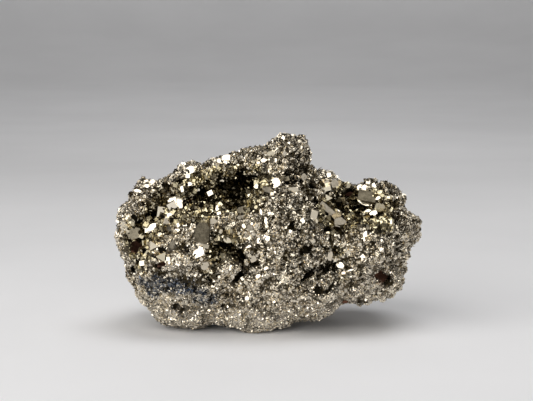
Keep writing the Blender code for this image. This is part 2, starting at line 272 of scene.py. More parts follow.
# Cracks: their points in the photograph, half-width and depth in millimetres.
CRACKS = {
    "belly_crack": (((257, 263), (250, 264), (245, 267), (240, 273), (235, 280)), 1.05, 3.6),
    "low_crack": (((301, 281), (306, 277), (312, 273), (320, 270), (327, 268)), 0.68, 3.0),
    "low_crack_end": (((324, 269), (330, 268), (336, 270)), 0.95, 3.2),
    "low_crack_curl": (((333, 283), (331, 287), (327, 291)), 0.5, 1.8),
    "summit_slit": (((286, 185), (290, 182), (295, 181), (298, 183)), 0.8, 2.8),
    "summit_line": (((281, 178), (286, 176), (292, 174)), 0.4, 1.4),
    "shoulder_gap": (((299, 173), (303, 170), (306, 169)), 0.7, 2.2),
    "ledge_shadow": (((184, 226), (192, 222), (201, 219)), 0.5, 1.6),
    "right_wall": (((330, 236), (333, 246), (331, 254)), 0.6, 1.6),
    "blade_shadow": (((326, 230), (331, 228), (336, 228), (341, 232)), 1.0, 3.0),
    "pocket_gap": (((241, 251), (243, 255), (242, 260)), 1.2, 3.8),
    "under_lump": (((204, 275), (209, 278), (213, 284)), 0.7, 2.4),
    "lump_side": (((214, 262), (214, 270), (217, 277)), 0.5, 1.6),
    "low_line": (((229, 305), (235, 306), (240, 309)), 0.4, 1.2),
    "right_edge_line": (((350, 300), (358, 298), (366, 297)), 0.5, 1.6),
    "right_end_gap": (((393, 202), (394, 207), (393, 211)), 0.5, 1.8),
    "right_end_gap_low": (((398, 205), (399, 211)), 0.45, 1.6),
    "right_side_gap": (((397, 245), (397, 252)), 0.4, 1.4),
    "beside_right_lump": (((360, 275), (362, 281)), 0.5, 1.6),
    "hollow_left_gap": (((187, 193), (185, 200), (186, 206)), 0.7, 2.2),
    "left_lobe_gap": (((153, 197), (158, 193), (162, 189)), 0.5, 1.8),
    "under_cluster": (((170, 210), (176, 211)), 0.5, 1.6),
}

# Dents, and swellings where the depth is below zero: place, radius and depth in
# millimetres.
DENTS = {
    "deep_core": (248, 179, 3.8, 2.4),
    "deep_core_low": (238, 199, 3.6, 4.4),
    "deep_core_foot": (231, 208, 2.2, 2.6),
    "black_behind_dash": (220, 181, 2.6, 2.8),
    "hollow_middle": (204, 197, 2.6, 1.8),
    "hollow_left_core": (154, 217, 2.4, 2.6),
    "left_gap": (134, 218, 1.4, 2.6),
    "under_kidney": (150, 235, 2.0, 1.4),
    "low_left_gap": (146, 253, 1.8, 2.2),
    "pocket": (228, 250, 3.8, 5.0),
    "pocket_left": (214, 247, 2.2, 3.2),
    "pocket_low": (219, 258, 2.2, 2.8),
    "right_core": (347, 191, 2.6, 3.0),
    "right_core_low": (338, 202, 2.6, 2.6),
    "lower_pocket": (136, 268, 1.6, 2.2),
    "left_end_fill": (136, 207, 4.0, -2.2),
    "green_seat": (130, 234, 2.4, 1.5),
    "cluster_seat": (176, 205, 2.4, 1.2),
    "foot_valley": (219, 319, 2.8, -2.4),
    "hollow_shelf": (214, 193, 3.0, -2.4),
    "hollow_shelf_left": (189, 192, 3.0, -2.2),
    "hollow_shelf_end": (170, 204, 2.6, -1.4),
    "ledge_front": (181, 262, 3.4, -0.7),
    "right_end_fill": (376, 207, 2.6, -1.0),
    "round_lump": (228, 219, 2.1, -1.3),
    "summit_fill": (290, 167, 3.0, -1.0),
    "pocket_lump": (230, 268, 3.2, -1.5),
    "low_lump": (318, 281, 3.2, -0.9),
    "right_lump": (367, 274, 2.2, -0.8),
}

# Where the outline moves: place and radius in the photograph's pixels, then how far to
# the right and up in millimetres.
NUDGES = {
    "left_lobe": ((126, 189), 15, (1.0, -1.0)),
    "left_lobe_top": ((143, 173), 11, (0.2, -0.3)),
    "left_low": ((115, 261), 17, (1.5, 0.2)),
    "second_lobe": ((165, 166), 15, (0.8, -1.7)),
    "second_lobe_top": ((184, 155), 10, (0.0, -1.0)),
    "third_lobe": ((218, 153), 13, (0.0, -0.6)),
    "summit_left": ((263, 147), 10, (-0.6, 1.3)),
    "summit_right": ((309, 138), 9, (-0.2, 0.3)),
    "summit_notch": ((316, 170), 8, (0.6, 2.8)),
    "summit_top": ((279, 134), 9, (0.0, 0.9)),
    "right_end_left": ((364, 177), 9, (0.0, 0.9)),
    "low_right_foot": ((364, 299), 8, (0.0, -1.8)),
    "valley_side": ((346, 172), 11, (-0.8, -1.6)),
    "right_end_top": ((413, 206), 12, (-1.2, -1.0)),
    "right_notch": ((407, 256), 9, (1.5, 0.0)),
}

# Pits: place, radius and depth in millimetres.
PITS = {
    "small_black": (391, 283, 0.6, 1.6),
    "dark_oval": (169, 186, 1.2, 2.2),
    "belly_hole": (303, 252, 1.1, 2.2),
    "belly_hole_top": (306, 249, 0.9, 2.0),
    "belly_hole_right": (310, 253, 0.8, 1.6),
    "small_hole": (296, 287, 0.6, 1.6),
    "low_left_hole": (175, 306, 1.0, 1.8),
    "low_left_hole_end": (182, 310, 0.9, 1.8),
    "low_middle_hole": (209, 301, 0.8, 1.8),
    "summit_hole": (299, 155, 0.8, 1.6),
    "summit_hole_low": (299, 162, 0.6, 1.4),
    "shoulder_hole": (313, 188, 1.4, 2.8),
    "lilac_gap": (309, 213, 0.9, 1.8),
    "maroon_gap": (348, 190, 1.7, 2.2),
    "glossy_pit": (317, 202, 1.7, 3.4),
    "belly_pocket": (291, 228, 1.3, 2.4),
    "wall_pocket": (337, 254, 0.9, 2.0),
    "wall_pocket_top": (335, 249, 1.0, 2.0),
    "right_wall_gap": (372, 243, 0.8, 1.8),
    "under_big_cube": (361, 207, 0.9, 1.6),
    "right_hollow_gap": (358, 216, 1.3, 2.0),
    "second_gap": (179, 191, 0.8, 1.6),
    "second_gap_right": (191, 189, 1.2, 2.2),
    "beside_oval": (180, 181, 1.2, 2.2),
    "beside_white": (207, 252, 0.7, 1.6),
    "low_dot": (254, 304, 0.5, 1.4),
    "left_low_black": (134, 268, 1.6, 3.0),
    "left_low_black_top": (137, 262, 1.1, 2.4),
    "low_left_pit": (147, 253, 1.4, 2.8),
}


def picture_ray(px, py):
    """The direction from the camera through a place in the photograph."""
    half = SENSOR / 2 / LENS
    x = (px - PICTURE[0] / 2) / (PICTURE[0] / 2) * half
    y = (PICTURE[1] / 2 - py) / (PICTURE[0] / 2) * half
    turn = Euler((math.radians(CAMERA_TILT), 0.0, 0.0)).to_matrix()
    return (turn @ Vector((x, y, -1.0))).normalized()


def smooth_step(low, high, value):
    part = np.clip((value - low) / (high - low), 0.0, 1.0)
    return part * part * (3.0 - 2.0 * part)


def fading(away, radius, start, end):
    """1 near a middle, fading to 0 between two shares of a radius."""
    return 1.0 - smooth_step(radius * start, radius * end, away)


def noise_at(points, scale, shift=0.0):
    """Smooth noise from about -1 to 1 with features of a scale in millimetres."""
    factor = 1.0 / (scale * MM)
    move = Vector([shift * part for part in SHIFT_WAY])
    return np.array([noise.noise(Vector(point) * factor + move) for point in points])


def spots_at(points, places):
    """How far inside places of the photograph the points are, from 0 outside to 1 inside."""
    inside = np.zeros(len(points))
    for px, py, radius in places.values():
        centre = mass_tree.ray_cast(CAMERA, picture_ray(px, py))[0]
        if centre is None:
            continue
        away = np.linalg.norm(points - np.array(centre), axis=1) / MM
        inside = np.maximum(inside, fading(away, radius, *PLACE_FADE))
    return inside


def golden_at(points):
    """1 on the crystals of the hollows, fading to 0 on the outside."""
    away = np.array([crust_tree.find_nearest(Vector(point))[3] for point in points]) / MM
    wander = noise_at(points, *GOLDEN_EDGE)
    in_crust = 1.0 - smooth_step(*CRUST_EDGE, away + wander * GOLDEN_WANDER)
    moved = points + wander[:, None] * GOLDEN_WANDER * MM
    in_crust *= 1.0 - spots_at(moved, SILVER_PLACES)
    return np.maximum(in_crust, spots_at(moved, GOLDEN_PLACES))


def fine_at(points, normals):
    """1 where the surface is finest and smoothest, low down and underneath."""
    height = points[:, 2] / MM + noise_at(points, *FINE_HEIGHT) * FINE_RISE
    low = 1.0 - smooth_step(*FINE_HEIGHTS, height)
    # Facing down counts as fine too, which also pales the colour there: partly painted bounce light
    # from the floor.
    under = smooth_step(*FINE_FACING, normals[:, 2])
    moved = points + noise_at(points, *FINE_EDGE)[:, None] * FINE_WANDER * MM
    smooth = spots_at(moved, SMOOTH_PLACES)
    return np.maximum.reduce([low, under * FINE_UNDER, smooth * FINE_PLACE])


def blue_at(points):
    wander = noise_at(points, *BLUE_EDGE)
    return spots_at(points + wander[:, None] * BLUE_WANDER * MM, BLUE_PLACES)


def skin_mesh():
    """One closed skin over the three solids, smoothed so that big crystals turn to bumps."""
    bm = bmesh.new()
    for node in (MASS, LEFT, RIGHT):
        bm.from_mesh(frame["nodes"][node].data)
    mesh = bpy.data.meshes.new("skin")
    bm.to_mesh(mesh)
    bm.free()
    thing = bpy.data.objects.new("skin", mesh)
    bpy.context.scene.collection.objects.link(thing)
    join = thing.modifiers.new("join", "REMESH")
    join.mode = "VOXEL"
    join.voxel_size = SKIN_VOXEL * MM
    even = thing.modifiers.new("even", "SMOOTH")
    even.factor = SKIN_EVENING
    even.iterations = SKIN_ROUNDS
    graph = bpy.context.evaluated_depsgraph_get()
    made = bpy.data.meshes.new_from_object(thing.evaluated_get(graph))
    bpy.data.objects.remove(thing, do_unlink=True)
    return made


def biggest_body(points, triangles):
    """The triangles of the largest connected body."""
    group = np.arange(len(points))
    while True:
        least = group[triangles].min(axis=1)
        new = group.copy()
        for side in range(3):
            np.minimum.at(new, triangles[:, side], least)
        new = new[new]
        if (new == group).all():
            break
        group = new
    bodies, counts = np.unique(group[triangles[:, 0]], return_counts=True)
    return triangles[group[triangles[:, 0]] == bodies[counts.argmax()]]


def cells_at(points, cell):
    """Distances to the nearest two cell middles, on points moved about a little."""
    rows = []
    for point in points:
        place = Vector(point) / (cell * MM)
        place += noise.noise_vector(place * CELL_TWIST[0]) * CELL_TWIST[1]
        rows.append(noise.voronoi(place)[0][:2])
    return np.array(rows)


def raised(points, normals, golden, fine):
    """Rounded bumps like grapes with gaps between them. Returns the points and the gaps."""
    height = np.zeros(len(points))
    gaps = np.zeros(len(points))
    for cell, rise, width in BUMPS:
        near = cells_at(points, cell)
        height += rise * (BUMP_MIDDLE - near[:, 0])
        scale, shift = GAP_OPENING
        opened = smooth_step(*OPENED, noise_at(points, scale, shift + cell))
        edge = 1.0 - smooth_step(*width, near[:, 1] - near[:, 0])
        gaps = np.maximum(gaps, edge * opened)
    height *= (1.0 - (1.0 - HOLLOW_BUMPS) * golden) * (1.0 - FINE_CALM * fine)
    gaps *= (1.0 - golden) * (1.0 - FINE_CALM * fine)
    pits = golden * smooth_step(*PITTED, noise_at(points, *HOLLOW_PITS))
    height -= CREVICE_DEPTH * gaps + HOLLOW_PIT_DEPTH * pits
    raised_points = points + normals * ((height + SKIN_RISE) * MM)[:, None]
    return raised_points, np.maximum(gaps, pits * PIT_GAP)


def distance_to_path(points, path):
    """Distance of each point from a line through the points of a path."""
    least = np.linalg.norm(points - path[0], axis=1)
    for one, two in zip(path, path[1:], strict=False):
        along = two - one
        part = np.clip((points - one) @ along / (along @ along), 0.0, 1.0)
        nearest = one + part[:, None] * along
        least = np.minimum(least, np.linalg.norm(points - nearest, axis=1))
    return least


def sunk_marks(points, normals, triangles, paths, radius_share, straight):
    """Presses paths and spots into the skin. Returns the points and how deep each is."""
    tree = BVHTree.FromPolygons([Vector(point) for point in points], triangles.tolist())
    push = np.zeros_like(points)
    deep = np.zeros(len(points))
    for path, radius, depth in paths:
        hits = [tree.ray_cast(CAMERA, picture_ray(px, py)) for px, py in path]
        hits = [hit for hit in hits if hit[0] is not None]
        if not hits:
            continue
        line = np.array([tuple(hit[0]) for hit in hits])
        inward = np.array(-sum((hit[1] for hit in hits), Vector()).normalized()) * (1.0 - straight)
        inward = inward + np.array(picture_ray(*path[0]))
        inward /= np.linalg.norm(inward)
        away = distance_to_path(points, line) / MM
        share = fading(away, radius, radius_share, MARK_EDGE)
        share *= (normals @ inward) < MARK_FACING
        push = np.where((share > deep)[:, None], share[:, None] * depth * inward, push)
        deep = np.maximum(deep, share)
    return points + push * MM, deep


def picture_places(points):
    """Where points lie in the photograph, in pixels."""
    turn = np.array(Euler((math.radians(CAMERA_TILT), 0.0, 0.0)).to_matrix())
    seen = (points - np.array(CAMERA)) @ turn
    per = PICTURE[0] * LENS / SENSOR
    px = PICTURE[0] / 2 + seen[:, 0] / -seen[:, 2] * per
    return np.stack([px, PICTURE[1] / 2 - seen[:, 1] / -seen[:, 2] * per], axis=1)


def nudged(points):
    """Moves parts of the outline sideways and up or down."""
    seen = picture_places(points)
    move = np.zeros_like(points)
    for place, radius, (right, up) in NUDGES.values():
        away = np.linalg.norm(seen - np.array(place), axis=1)
        share = fading(away, radius, *NUDGE_FADE)
        move += share[:, None] * np.array((right, 0.0, up)) * MM
    return points + move


# Painted shade: this darkens the crystals' colour where the lump encloses them.
def shade_at(points, normals, tree):
    """How much of the space before each point the lump itself takes, from 0 to 1."""
    tries = rng.normal(size=(SHADE_RAYS, 3))
    tries /= np.linalg.norm(tries, axis=1, keepdims=True)
    shade = np.zeros(len(points))
    for index, (point, normal) in enumerate(zip(points, normals, strict=True)):
        start = Vector(point + normal * SHADE_LIFT * MM)
        aims = tries + normal * SHADE_OUTWARD
        for aim in aims:
            if tree.ray_cast(start, Vector(aim), SHADE_REACH * MM)[0] is not None:
                shade[index] += 1.0
    return shade / SHADE_RAYS


def evened(values, triangles, rounds):
    """Values at corners averaged with those next to them."""
    for _ in range(rounds):
        total = values * OWN_WEIGHT
        weight = np.full(len(values), OWN_WEIGHT)
        for one, two in ((0, 1), (1, 2), (2, 0)):
            np.add.at(total, triangles[:, one], values[triangles[:, two]])
            np.add.at(weight, triangles[:, one], 1.0)
        values = total / weight
    return values


def kept_in_box(points, margin, ease):
    """Draws in what passes the solids' box, softly, so that tops stay round."""
    low = np.array(solid_box[0]) + margin
    high = np.array(solid_box[1]) - margin
    over = np.maximum(points - (high - ease), 0.0)
    eased = np.where(over > 0, high - ease * np.exp(-over / ease), points)
    under = np.maximum((low + ease) - points, 0.0)
    under[:, 2] = 0.0
    eased = np.where(under > 0, low + ease * np.exp(-under / ease), eased)
    return np.maximum(eased, low)


def vertex_normals(points, triangles):
    a, b, c = (points[triangles[:, side]] for side in range(3))
    across = np.cross(b - a, c - a)
    total = np.zeros_like(points)
    for side in range(3):
        np.add.at(total, triangles[:, side], across)
    return total / np.maximum(np.linalg.norm(total, axis=1, keepdims=True), TINY)


# The forms of the crystals, with sides of about 1.
OCTAHEDRON_REACH, PYRITOHEDRON_REACH, CORNER_TOP = 0.66, 0.42, 0.45
SMALL_CUT, LARGE_CUT = 0.24, 0.36  # how far in a cube's corners are cut off
NEARLY_FLAT = 0.02  # the angle in radians under which two faces count as one
CUBE = (
    np.array([(x, y, z) for x in (-0.5, 0.5) for y in (-0.5, 0.5) for z in (-0.5, 0.5)]),
    [np.array([
        (0, 1, 3, 2), (4, 6, 7, 5), (0, 4, 5, 1), (2, 3, 7, 6), (0, 2, 6, 4), (1, 5, 7, 3),
    ])],
)
OCTAHEDRON = (
    np.array([(1, 0, 0), (-1, 0, 0), (0, 1, 0), (0, -1, 0), (0, 0, 1), (0, 0, -1)]) * OCTAHEDRON_REACH,
    [np.array([
        (0, 2, 4), (2, 1, 4), (1, 3, 4), (3, 0, 4), (2, 0, 5), (1, 2, 5), (3, 1, 5), (0, 3, 5),
    ])],
)


def corner_form():
    """The corner of a cube, pointing up, on a three-sided foot."""
    foot, drop = math.sqrt(2 / 3), 1 / math.sqrt(3)
    points = [(0.0, 0.0, CORNER_TOP)]
    for step in range(3):
        angle = math.tau * step / 3
        points.append((foot * math.cos(angle), foot * math.sin(angle), CORNER_TOP - drop))
    return np.array(points), [np.array([(0, 1, 2), (0, 2, 3), (0, 3, 1), (1, 3, 2)])]


def hull_form(points):
    """A convex form with its flat faces whole, from its corners."""
    bm = bmesh.new()
    for point in points:
        bm.verts.new(point)
    bmesh.ops.convex_hull(bm, input=bm.verts)
    bmesh.ops.dissolve_limit(bm, angle_limit=NEARLY_FLAT, verts=bm.verts, edges=bm.edges)
    bm.normal_update()
    bm.verts.index_update()
    corners = np.array([tuple(vertex.co) for vertex in bm.verts])
    by_sides = {}
    for face in bm.faces:
        row = [vertex.index for vertex in face.verts]
        by_sides.setdefault(len(row), []).append(row)
    bm.free()
    return corners, [np.array(rows) for rows in by_sides.values()]


def truncated_form(cut):
    """A cube with its corners cut off."""
    points = []
    for signs in ((x, y, z) for x in (-1, 1) for y in (-1, 1) for z in (-1, 1)):
        for axis in range(3):
            point = [sign * 0.5 for sign in signs]
            point[axis] -= signs[axis] * cut
            points.append(point)
    return hull_form(points)


def pyritohedron_form(slant=0.5):
    """The twelve-faced form with five-sided faces that pyrite is known for."""
    points = [(x, y, z) for x in (-1, 1) for y in (-1, 1) for z in (-1, 1)]
    for one in (-1, 1):
        for two in (-1, 1):
            long, short = 1.0 + slant, 1.0 - slant * slant
            points.append((0.0, one * long, two * short))
            points.append((one * long, two * short, 0.0))
            points.append((one * short, 0.0, two * long))
    return hull_form([[value * PYRITOHEDRON_REACH for value in point] for point in points])


FORMS = {
    "cube": CUBE,
    "corner": corner_form(),
    "octahedron": OCTAHEDRON,
    "truncated": truncated_form(SMALL_CUT),
    "half_cut": truncated_form(LARGE_CUT),
    "pyritohedron": pyritohedron_form(),
}


def domains_at(places):
    """Three numbers from 0 to 1 for each place, alike for the crystals of one patch."""
    rows = []
    for place in places:
        patch = noise.voronoi(Vector(place) / (DOMAIN_SIZE * MM))[1][0]
        rows.append(tuple(noise.cell_vector(patch * DOMAIN_STEP)))
    return np.array(rows)


def turns(places):
    """Random rotations as matrices, of which most are alike within a patch."""
    count = len(places)
    alike = (rng.random((count, 1)) < DOMAIN_SHARE) * 1.0
    mixed = domains_at(places) + rng.normal(size=(count, 3)) * DOMAIN_SPREAD
    mixed = mixed * alike + rng.random((count, 3)) * (1.0 - alike)
    u, v, w = mixed.T
    u = np.clip(u, 0.0, 1.0)
    q = np.stack([
        np.sqrt(1 - u) * np.sin(math.tau * v),
        np.sqrt(1 - u) * np.cos(math.tau * v),
        np.sqrt(u) * np.sin(math.tau * w),
        np.sqrt(u) * np.cos(math.tau * w),
    ])
    x, y, z, s = q
    return np.stack([
        1 - 2 * (y * y + z * z), 2 * (x * y - z * s), 2 * (x * z + y * s),
        2 * (x * y + z * s), 1 - 2 * (x * x + z * z), 2 * (y * z - x * s),
        2 * (x * z - y * s), 2 * (y * z + x * s), 1 - 2 * (x * x + y * y),
    ], axis=1).reshape(-1, 3, 3)


def upright_turns(places, facing, lean):
    """Rotations that take +Z near each facing direction, most leaning as their patch does."""
    count = len(facing)
    alike = (rng.random((count, 1)) < DOMAIN_SHARE) * 1.0
    patch = domains_at(places) * 2.0 - 1.0
    apart = rng.normal(size=(count, 3))
    near = patch * LEAN_PATCH + apart * DOMAIN_SPREAD * LEAN_SPREAD
    move = alike * near + (1.0 - alike) * apart
    aim = facing + move * math.tan(math.radians(lean))
    aim /= np.linalg.norm(aim, axis=1, keepdims=True)
    along = rng.normal(size=(count, 3))
    along = alike * (patch[:, ::-1] + ALONG_SPREAD * along) + (1.0 - alike) * along
    side = np.cross(aim, along)
    side /= np.linalg.norm(side, axis=1, keepdims=True)
    return np.stack([side, np.cross(aim, side), aim], axis=2)


def crystal_piece(name, form, centres, rotations, sizes, looks, material):
    """Many crystals of one form in one mesh. Sizes have one row of three for each."""
    corners, faces = FORMS[form]
    shaped = corners[None] * sizes[:, None, :]
    points = np.einsum("nij,nkj->nki", rotations, shaped) + centres[:, None, :]
    low, high = np.array(solid_box[0]), np.array(solid_box[1])
    margin = 0.02 * MM
    over = np.maximum(points.max(axis=1) - (high - margin), 0.0)
    below = np.maximum((low + margin) - points.min(axis=1), 0.0)
    points += (below - over)[:, None, :]
    each = len(corners)
    base = (np.arange(len(centres)) * each)[:, None, None]
    rows = [(face[None] + base).reshape(-1, face.shape[1]) for face in faces]
    spread = {key: np.repeat(values, each) for key, values in looks.items()}
    piece = mesh_object(name, points.reshape(-1, 3), rows, spread, material)
    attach(piece, "root")
    return piece


def clear_of_singles(places, singles, size):
    """Which places lie clear of the single crystals, for crystals of a size."""
    clear = np.ones(len(places), dtype=bool)
    for centre, reach in singles:
        apart = reach * CLEAR_REACH + size * CLEAR_SIZE
        clear &= np.linalg.norm(places - centre, axis=1) > apart
    return clear


TRIES_IN_CELL = 5
CELLS = 2000  # more than there are along any side


def sampled(points, triangles, normals, spacing, wanted):
    """Points spread over the skin, about a spacing in millimetres apart, where wanted."""
    a, b, c = (points[triangles[:, side]] for side in range(3))
    areas = np.linalg.norm(np.cross(b - a, c - a), axis=1) / 2
    share = wanted[triangles].mean(axis=1)
    weights = areas * (share > 0)
    count = int(weights.sum() / (spacing * MM) ** 2 * TRIES_IN_CELL)
    chosen = rng.choice(len(triangles), count, p=weights / weights.sum())
    u, v = rng.random((2, count, 1))
    over = (u + v) > 1
    u, v = np.where(over, 1 - u, u), np.where(over, 1 - v, v)
    places = a[chosen] + (b[chosen] - a[chosen]) * u + (c[chosen] - a[chosen]) * v
    keep = rng.random(count) < share[chosen]
    places, chosen = places[keep], chosen[keep]
    cells = np.floor(places / (spacing * MM) + CELLS / 4).astype(np.int64)
    ids = (cells[:, 0] * CELLS + cells[:, 1]) * CELLS + cells[:, 2]
    _, first = np.unique(ids, return_index=True)
    facing = normals[triangles[chosen[first]]].mean(axis=1)
    facing /= np.linalg.norm(facing, axis=1, keepdims=True)
    return places[first], facing, chosen[first]


# Crystals scattered over the skin: their form, the least distance between them, where they
# grow, their least and largest size and how deep they sink in their own size. Grains also
# have how far they lean in degrees, and how they are stretched.
WHOLE = (1.0, 1.0, 1.0)
SLIVER = (2.2, 0.5, 0.75)
GROUPS = {
    "grains": ("corner", 0.46, "rough_front", (0.36, 0.84), 0.05, 34),
    "fine_grains": ("corner", 0.44, "fine_front", (0.6, 1.1), 0.05, 30),
    "slivers": ("corner", 0.74, "coarse_front", (0.4, 0.85), 0.05, 24, SLIVER),
    "cubes": ("cube", 1.65, "calm", (0.5, 1.25), 0.12),
    "fine_cubes": ("cube", 1.5, "fine", (0.5, 1.2), 0.0),
    "points": ("octahedron", 1.75, "coarse", (0.55, 1.1), 0.08),
    "blocks": ("truncated", 5.0, "coarse", (0.9, 1.5), 0.2),
    "twelve": ("pyritohedron", 4.0, "coarse", (0.7, 1.3), 0.15),
    "hollow_grains": ("corner", 0.75, "inside", (0.7, 1.5), 0.05, 38),
    "hollow_sparks": ("cube", 0.95, "inside", (0.4, 0.9), -0.5),
    "hollow_cubes": ("cube", 1.5, "inside", (0.8, 1.7), 0.1),
    "hollow_points": ("octahedron", 1.9, "inside", (0.9, 1.9), 0.1),
    "hollow_blocks": ("half_cut", 3.4, "inside", (1.2, 2.2), 0.1),
    "hollow_twelve": ("pyritohedron", 4.2, "inside", (1.2, 2.2), 0.1),
}
CLEAR_REACH, CLEAR_SIZE = 0.85, 0.25  # of single crystals' reach and the others' size
SMALL_ONES = 1.3  # above 1, more crystals are small
UNEVEN = 0.25  # how much shorter than its size a side may be
TONE_MIDDLE, TONE_PATCH, TONE_SPREAD = 0.1, 0.14, 0.82

# Where they grow: how far back the front reaches, what the back and the underside get of
# it, what stays bare in marks, gaps and patches, and where the outside gives way to gold.
FRONT = (-2.0, 8.0)
BACK_SHARE = 0.25
UNDERSIDE, UNDERSIDE_LOSS = (0.3, 0.7), 0.5
BARE_MARK = (0.05, 0.3)
BARE_GAP, GAP_LOSS = (0.3, 0.8), 0.55
PATCH_MIDDLE, PATCH_SHARE, WIDE_SHARE, FINE_SHARE = 0.5, 0.5, 0.2, 0.2
BARE_PATCH = (0.15, 0.4)
OUTSIDE = (0.35, 0.75)
CALM_LOSS = 0.5

# How much the grain coarsens in patches and at the back, and how much it's finer where the
# surface is fine or pressed in.
COARSE_PATCH, COARSE_BACK = 0.35, 0.15
FINE_LOSS, MARK_LOSS, MARK_DEPTH = 0.4, 0.4, (0.0, 0.3)


def scatter(name, row, skin, fields, singles, wanted, material):
    """Crystals of one form over the skin, as pieces of not too many triangles."""
    form, spacing, _, (low, high), sunk, *grown = row
    lean, stretch = grown + [None, WHOLE][len(grown):]
    points, triangles, normals = skin
    places, facing, chosen = sampled(points, triangles, normals, spacing, wanted)
    size = low * (high / low) ** rng.random(len(places)) ** SMALL_ONES * MM
    size *= fields["grain"][triangles[chosen]].mean(axis=1)
    clear = clear_of_singles(places, singles, size)
    places, facing, chosen, size = places[clear], facing[clear], chosen[clear], size[clear]
    count = len(places)
    shape = size[:, None] * (1.0 - UNEVEN * rng.random((count, 3))) * np.array(stretch)
    centres = places - facing * (size * sunk)[:, None]
    looks = {key: values[triangles[chosen]].mean(axis=1) for key, values in fields.items()}
    del looks["grain"]
    patch = TONE_MIDDLE + TONE_PATCH * noise_at(places, *TONE_PATCHES)
    looks["tone"] = np.clip(TONE_SPREAD * rng.random(count) + patch, 0.0, 1.0)
    rotations = turns(places) if lean is None else upright_turns(places, facing, lean)
    per = MOST_TRIANGLES // sum(len(rows) * (rows.shape[1] - 2) for rows in FORMS[form][1])
    pieces = []
    for start in range(0, count, per):
        part = slice(start, start + per)
        part_looks = {key: values[part] for key, values in looks.items()}
        label = "%s_%d" % (name, start // per + 1)
        pieces.append(crystal_piece(
            label, form, centres[part], rotations[part], shape[part], part_looks, material
        ))
    return pieces


SILVER = (0.875, 0.80, 0.66)
WARM = (0.51, 0.45, 0.345)
GOLD = (0.66, 0.585, 0.40)
DEEP_GOLD = (0.27, 0.225, 0.115)
# Pale grey-beige of fine places: partly the fine grain's own colour, partly painted bounce light from
# the floor.
PALE = (0.915, 0.84, 0.70)
BLUE = (0.032, 0.053, 0.092)
DARK = (0.06, 0.05, 0.034)
# Near-black brown that crystals and the skin darken towards: painted shade.
PAINTED_SHADE = (0.05, 0.038, 0.018)
MAROON = (0.11, 0.052, 0.034)
# The skin between the crystals is near black, blotched between two colours: painted shade in the gaps
# between them. Where fine it is paler, partly its own colour and partly painted bounce light from the
# floor; in the hollows it is darker still, also painted shade.
BETWEEN = ((0.02, 0.017, 0.012), (0.10, 0.09, 0.07))
BETWEEN_FINE = (0.50, 0.46, 0.40)
BETWEEN_GOLD = ((0.010, 0.008, 0.005), (0.05, 0.04, 0.022))
FLOOR = ((0.81, 0.81, 0.825), (0.85, 0.85, 0.865))

# Tones from the lightest to the warmest of silver and of gold. Above a tone that differs
# between silver, gold and fine places, the crystals turn dark within a spread.
SILVER_TONES, GOLD_TONES = (0.1, 0.8), (0.1, 0.7)
DARK_FROM, DARK_FROM_FINE, DARK_SPREAD, MOST_DARK = (0.62, 0.47), 0.13, 0.16, 0.9
# FINE_PALE and DARK_FROM_FINE make fine places, low down and underneath, paler with fewer dark
# crystals: partly the fine grain's own look, partly painted bounce light from the floor.
FINE_PALE = 0.7
# The shade over which crystals darken towards it, and how far at most: painted shade.
PAINTED_SHADE_SPAN, MOST_PAINTED_SHADE = (0.4, 0.95), 0.85
STAINED, MOST_STAIN = (0.37, 0.54), 0.95
SMOOTHER, ROUGHER, ROUGHER_FINE = 0.07, 0.1, 0.04

# What noise mostly keeps to. Then what it draws: the scale and, where it isn't the usual,
# the detail and the roughness.
MOST_NOISE = (0.3, 0.7)
SPECKLE, CLOUD, STAIN, POLISH = (2600.0, 3.0, 0.6), (700.0, 2.0), (1500.0,), (450.0,)
RIPPLE, WAVE, GRIT = (4000.0, 2.0), (800.0, 2.0), (2600.0, 4.0)
BLOTCH, FLOOR_PATCH = (1400.0,), (9.0,)
BLOTCHY = (0.35, 0.65)  # the noise at which blotches begin and are full

# How high the materials' bumps are in metres, how strong the grit's are, and how rough the
# skin and the floor are.
RIPPLE_HEIGHT, WAVE_HEIGHT, GRIT_HEIGHT, GRIT_STRENGTH = 0.0001, 0.0004, 0.0003, 0.6
BETWEEN_ROUGH, FLOOR_ROUGH = 0.5, 0.75

# Crystals' materials: how rough they are, how strong fine ripples are in them, how much the
# tone varies within a face and how strong waves are.
MATERIALS = {
    "pyrite_crystals": (0.13, 0.3, 0.12, 0.0),
    "golden_crystals": (0.12, 0.2, 0.08, 0.0),
    "large_crystals": (0.15, 0.12, 0.03, 0.08),
}


class Nodes:
    """Short calls for adding shader nodes and linking them."""

    def __init__(self, made, shader="Principled BSDF"):
        made.use_nodes = True
        self.tree = made.node_tree
        self.shader = self.tree.nodes[shader]

    def put(self, node, inputs):
        """Sets a node's inputs by name or number, or links them to another's output."""
        for key, value in inputs.items():
            if isinstance(value, bpy.types.NodeSocket):
                self.tree.links.new(value, node.inputs[key])
            elif isinstance(value, tuple):
                node.inputs[key].default_value = (*value, 1.0)
            else:
                node.inputs[key].default_value = value

    def add(self, kind, inputs=None, **values):
        node = self.tree.nodes.new("ShaderNode" + kind)
        for key, value in values.items():
            setattr(node, key, value)
        self.put(node, inputs or {})
        return node

    def attribute(self, name):
        return self.add("Attribute", attribute_name=name).outputs["Fac"]

    def noise(self, scale, detail=3.0, rough=0.5):
        where = self.add("TexCoord").outputs["Object"]
        inputs = {"Vector": where, "Scale": scale, "Detail": detail, "Roughness": rough}
        return self.add("TexNoise", inputs).outputs["Fac"]

    def spread(self, value, *limits):
        """Maps a value from two limits to two others, and keeps it within them."""
        keys = ("Value", "From Min", "From Max", "To Min", "To Max")
        inputs = dict(zip(keys, (value, *limits), strict=True))
        return self.add("MapRange", inputs).outputs["Result"]

    def math(self, operation, one, two):
        return self.add("Math", {0: one, 1: two}, operation=operation).outputs[0]

    def mix(self, factor, one, two):
        return self.add("Mix", {0: factor, 6: one, 7: two}, data_type="RGBA").outputs[2]

    def bump(self, strength, distance, height, **under):
        inputs = {"Strength": strength, "Distance": distance, "Height": height, **under}
        return self.add("Bump", inputs).outputs["Normal"]


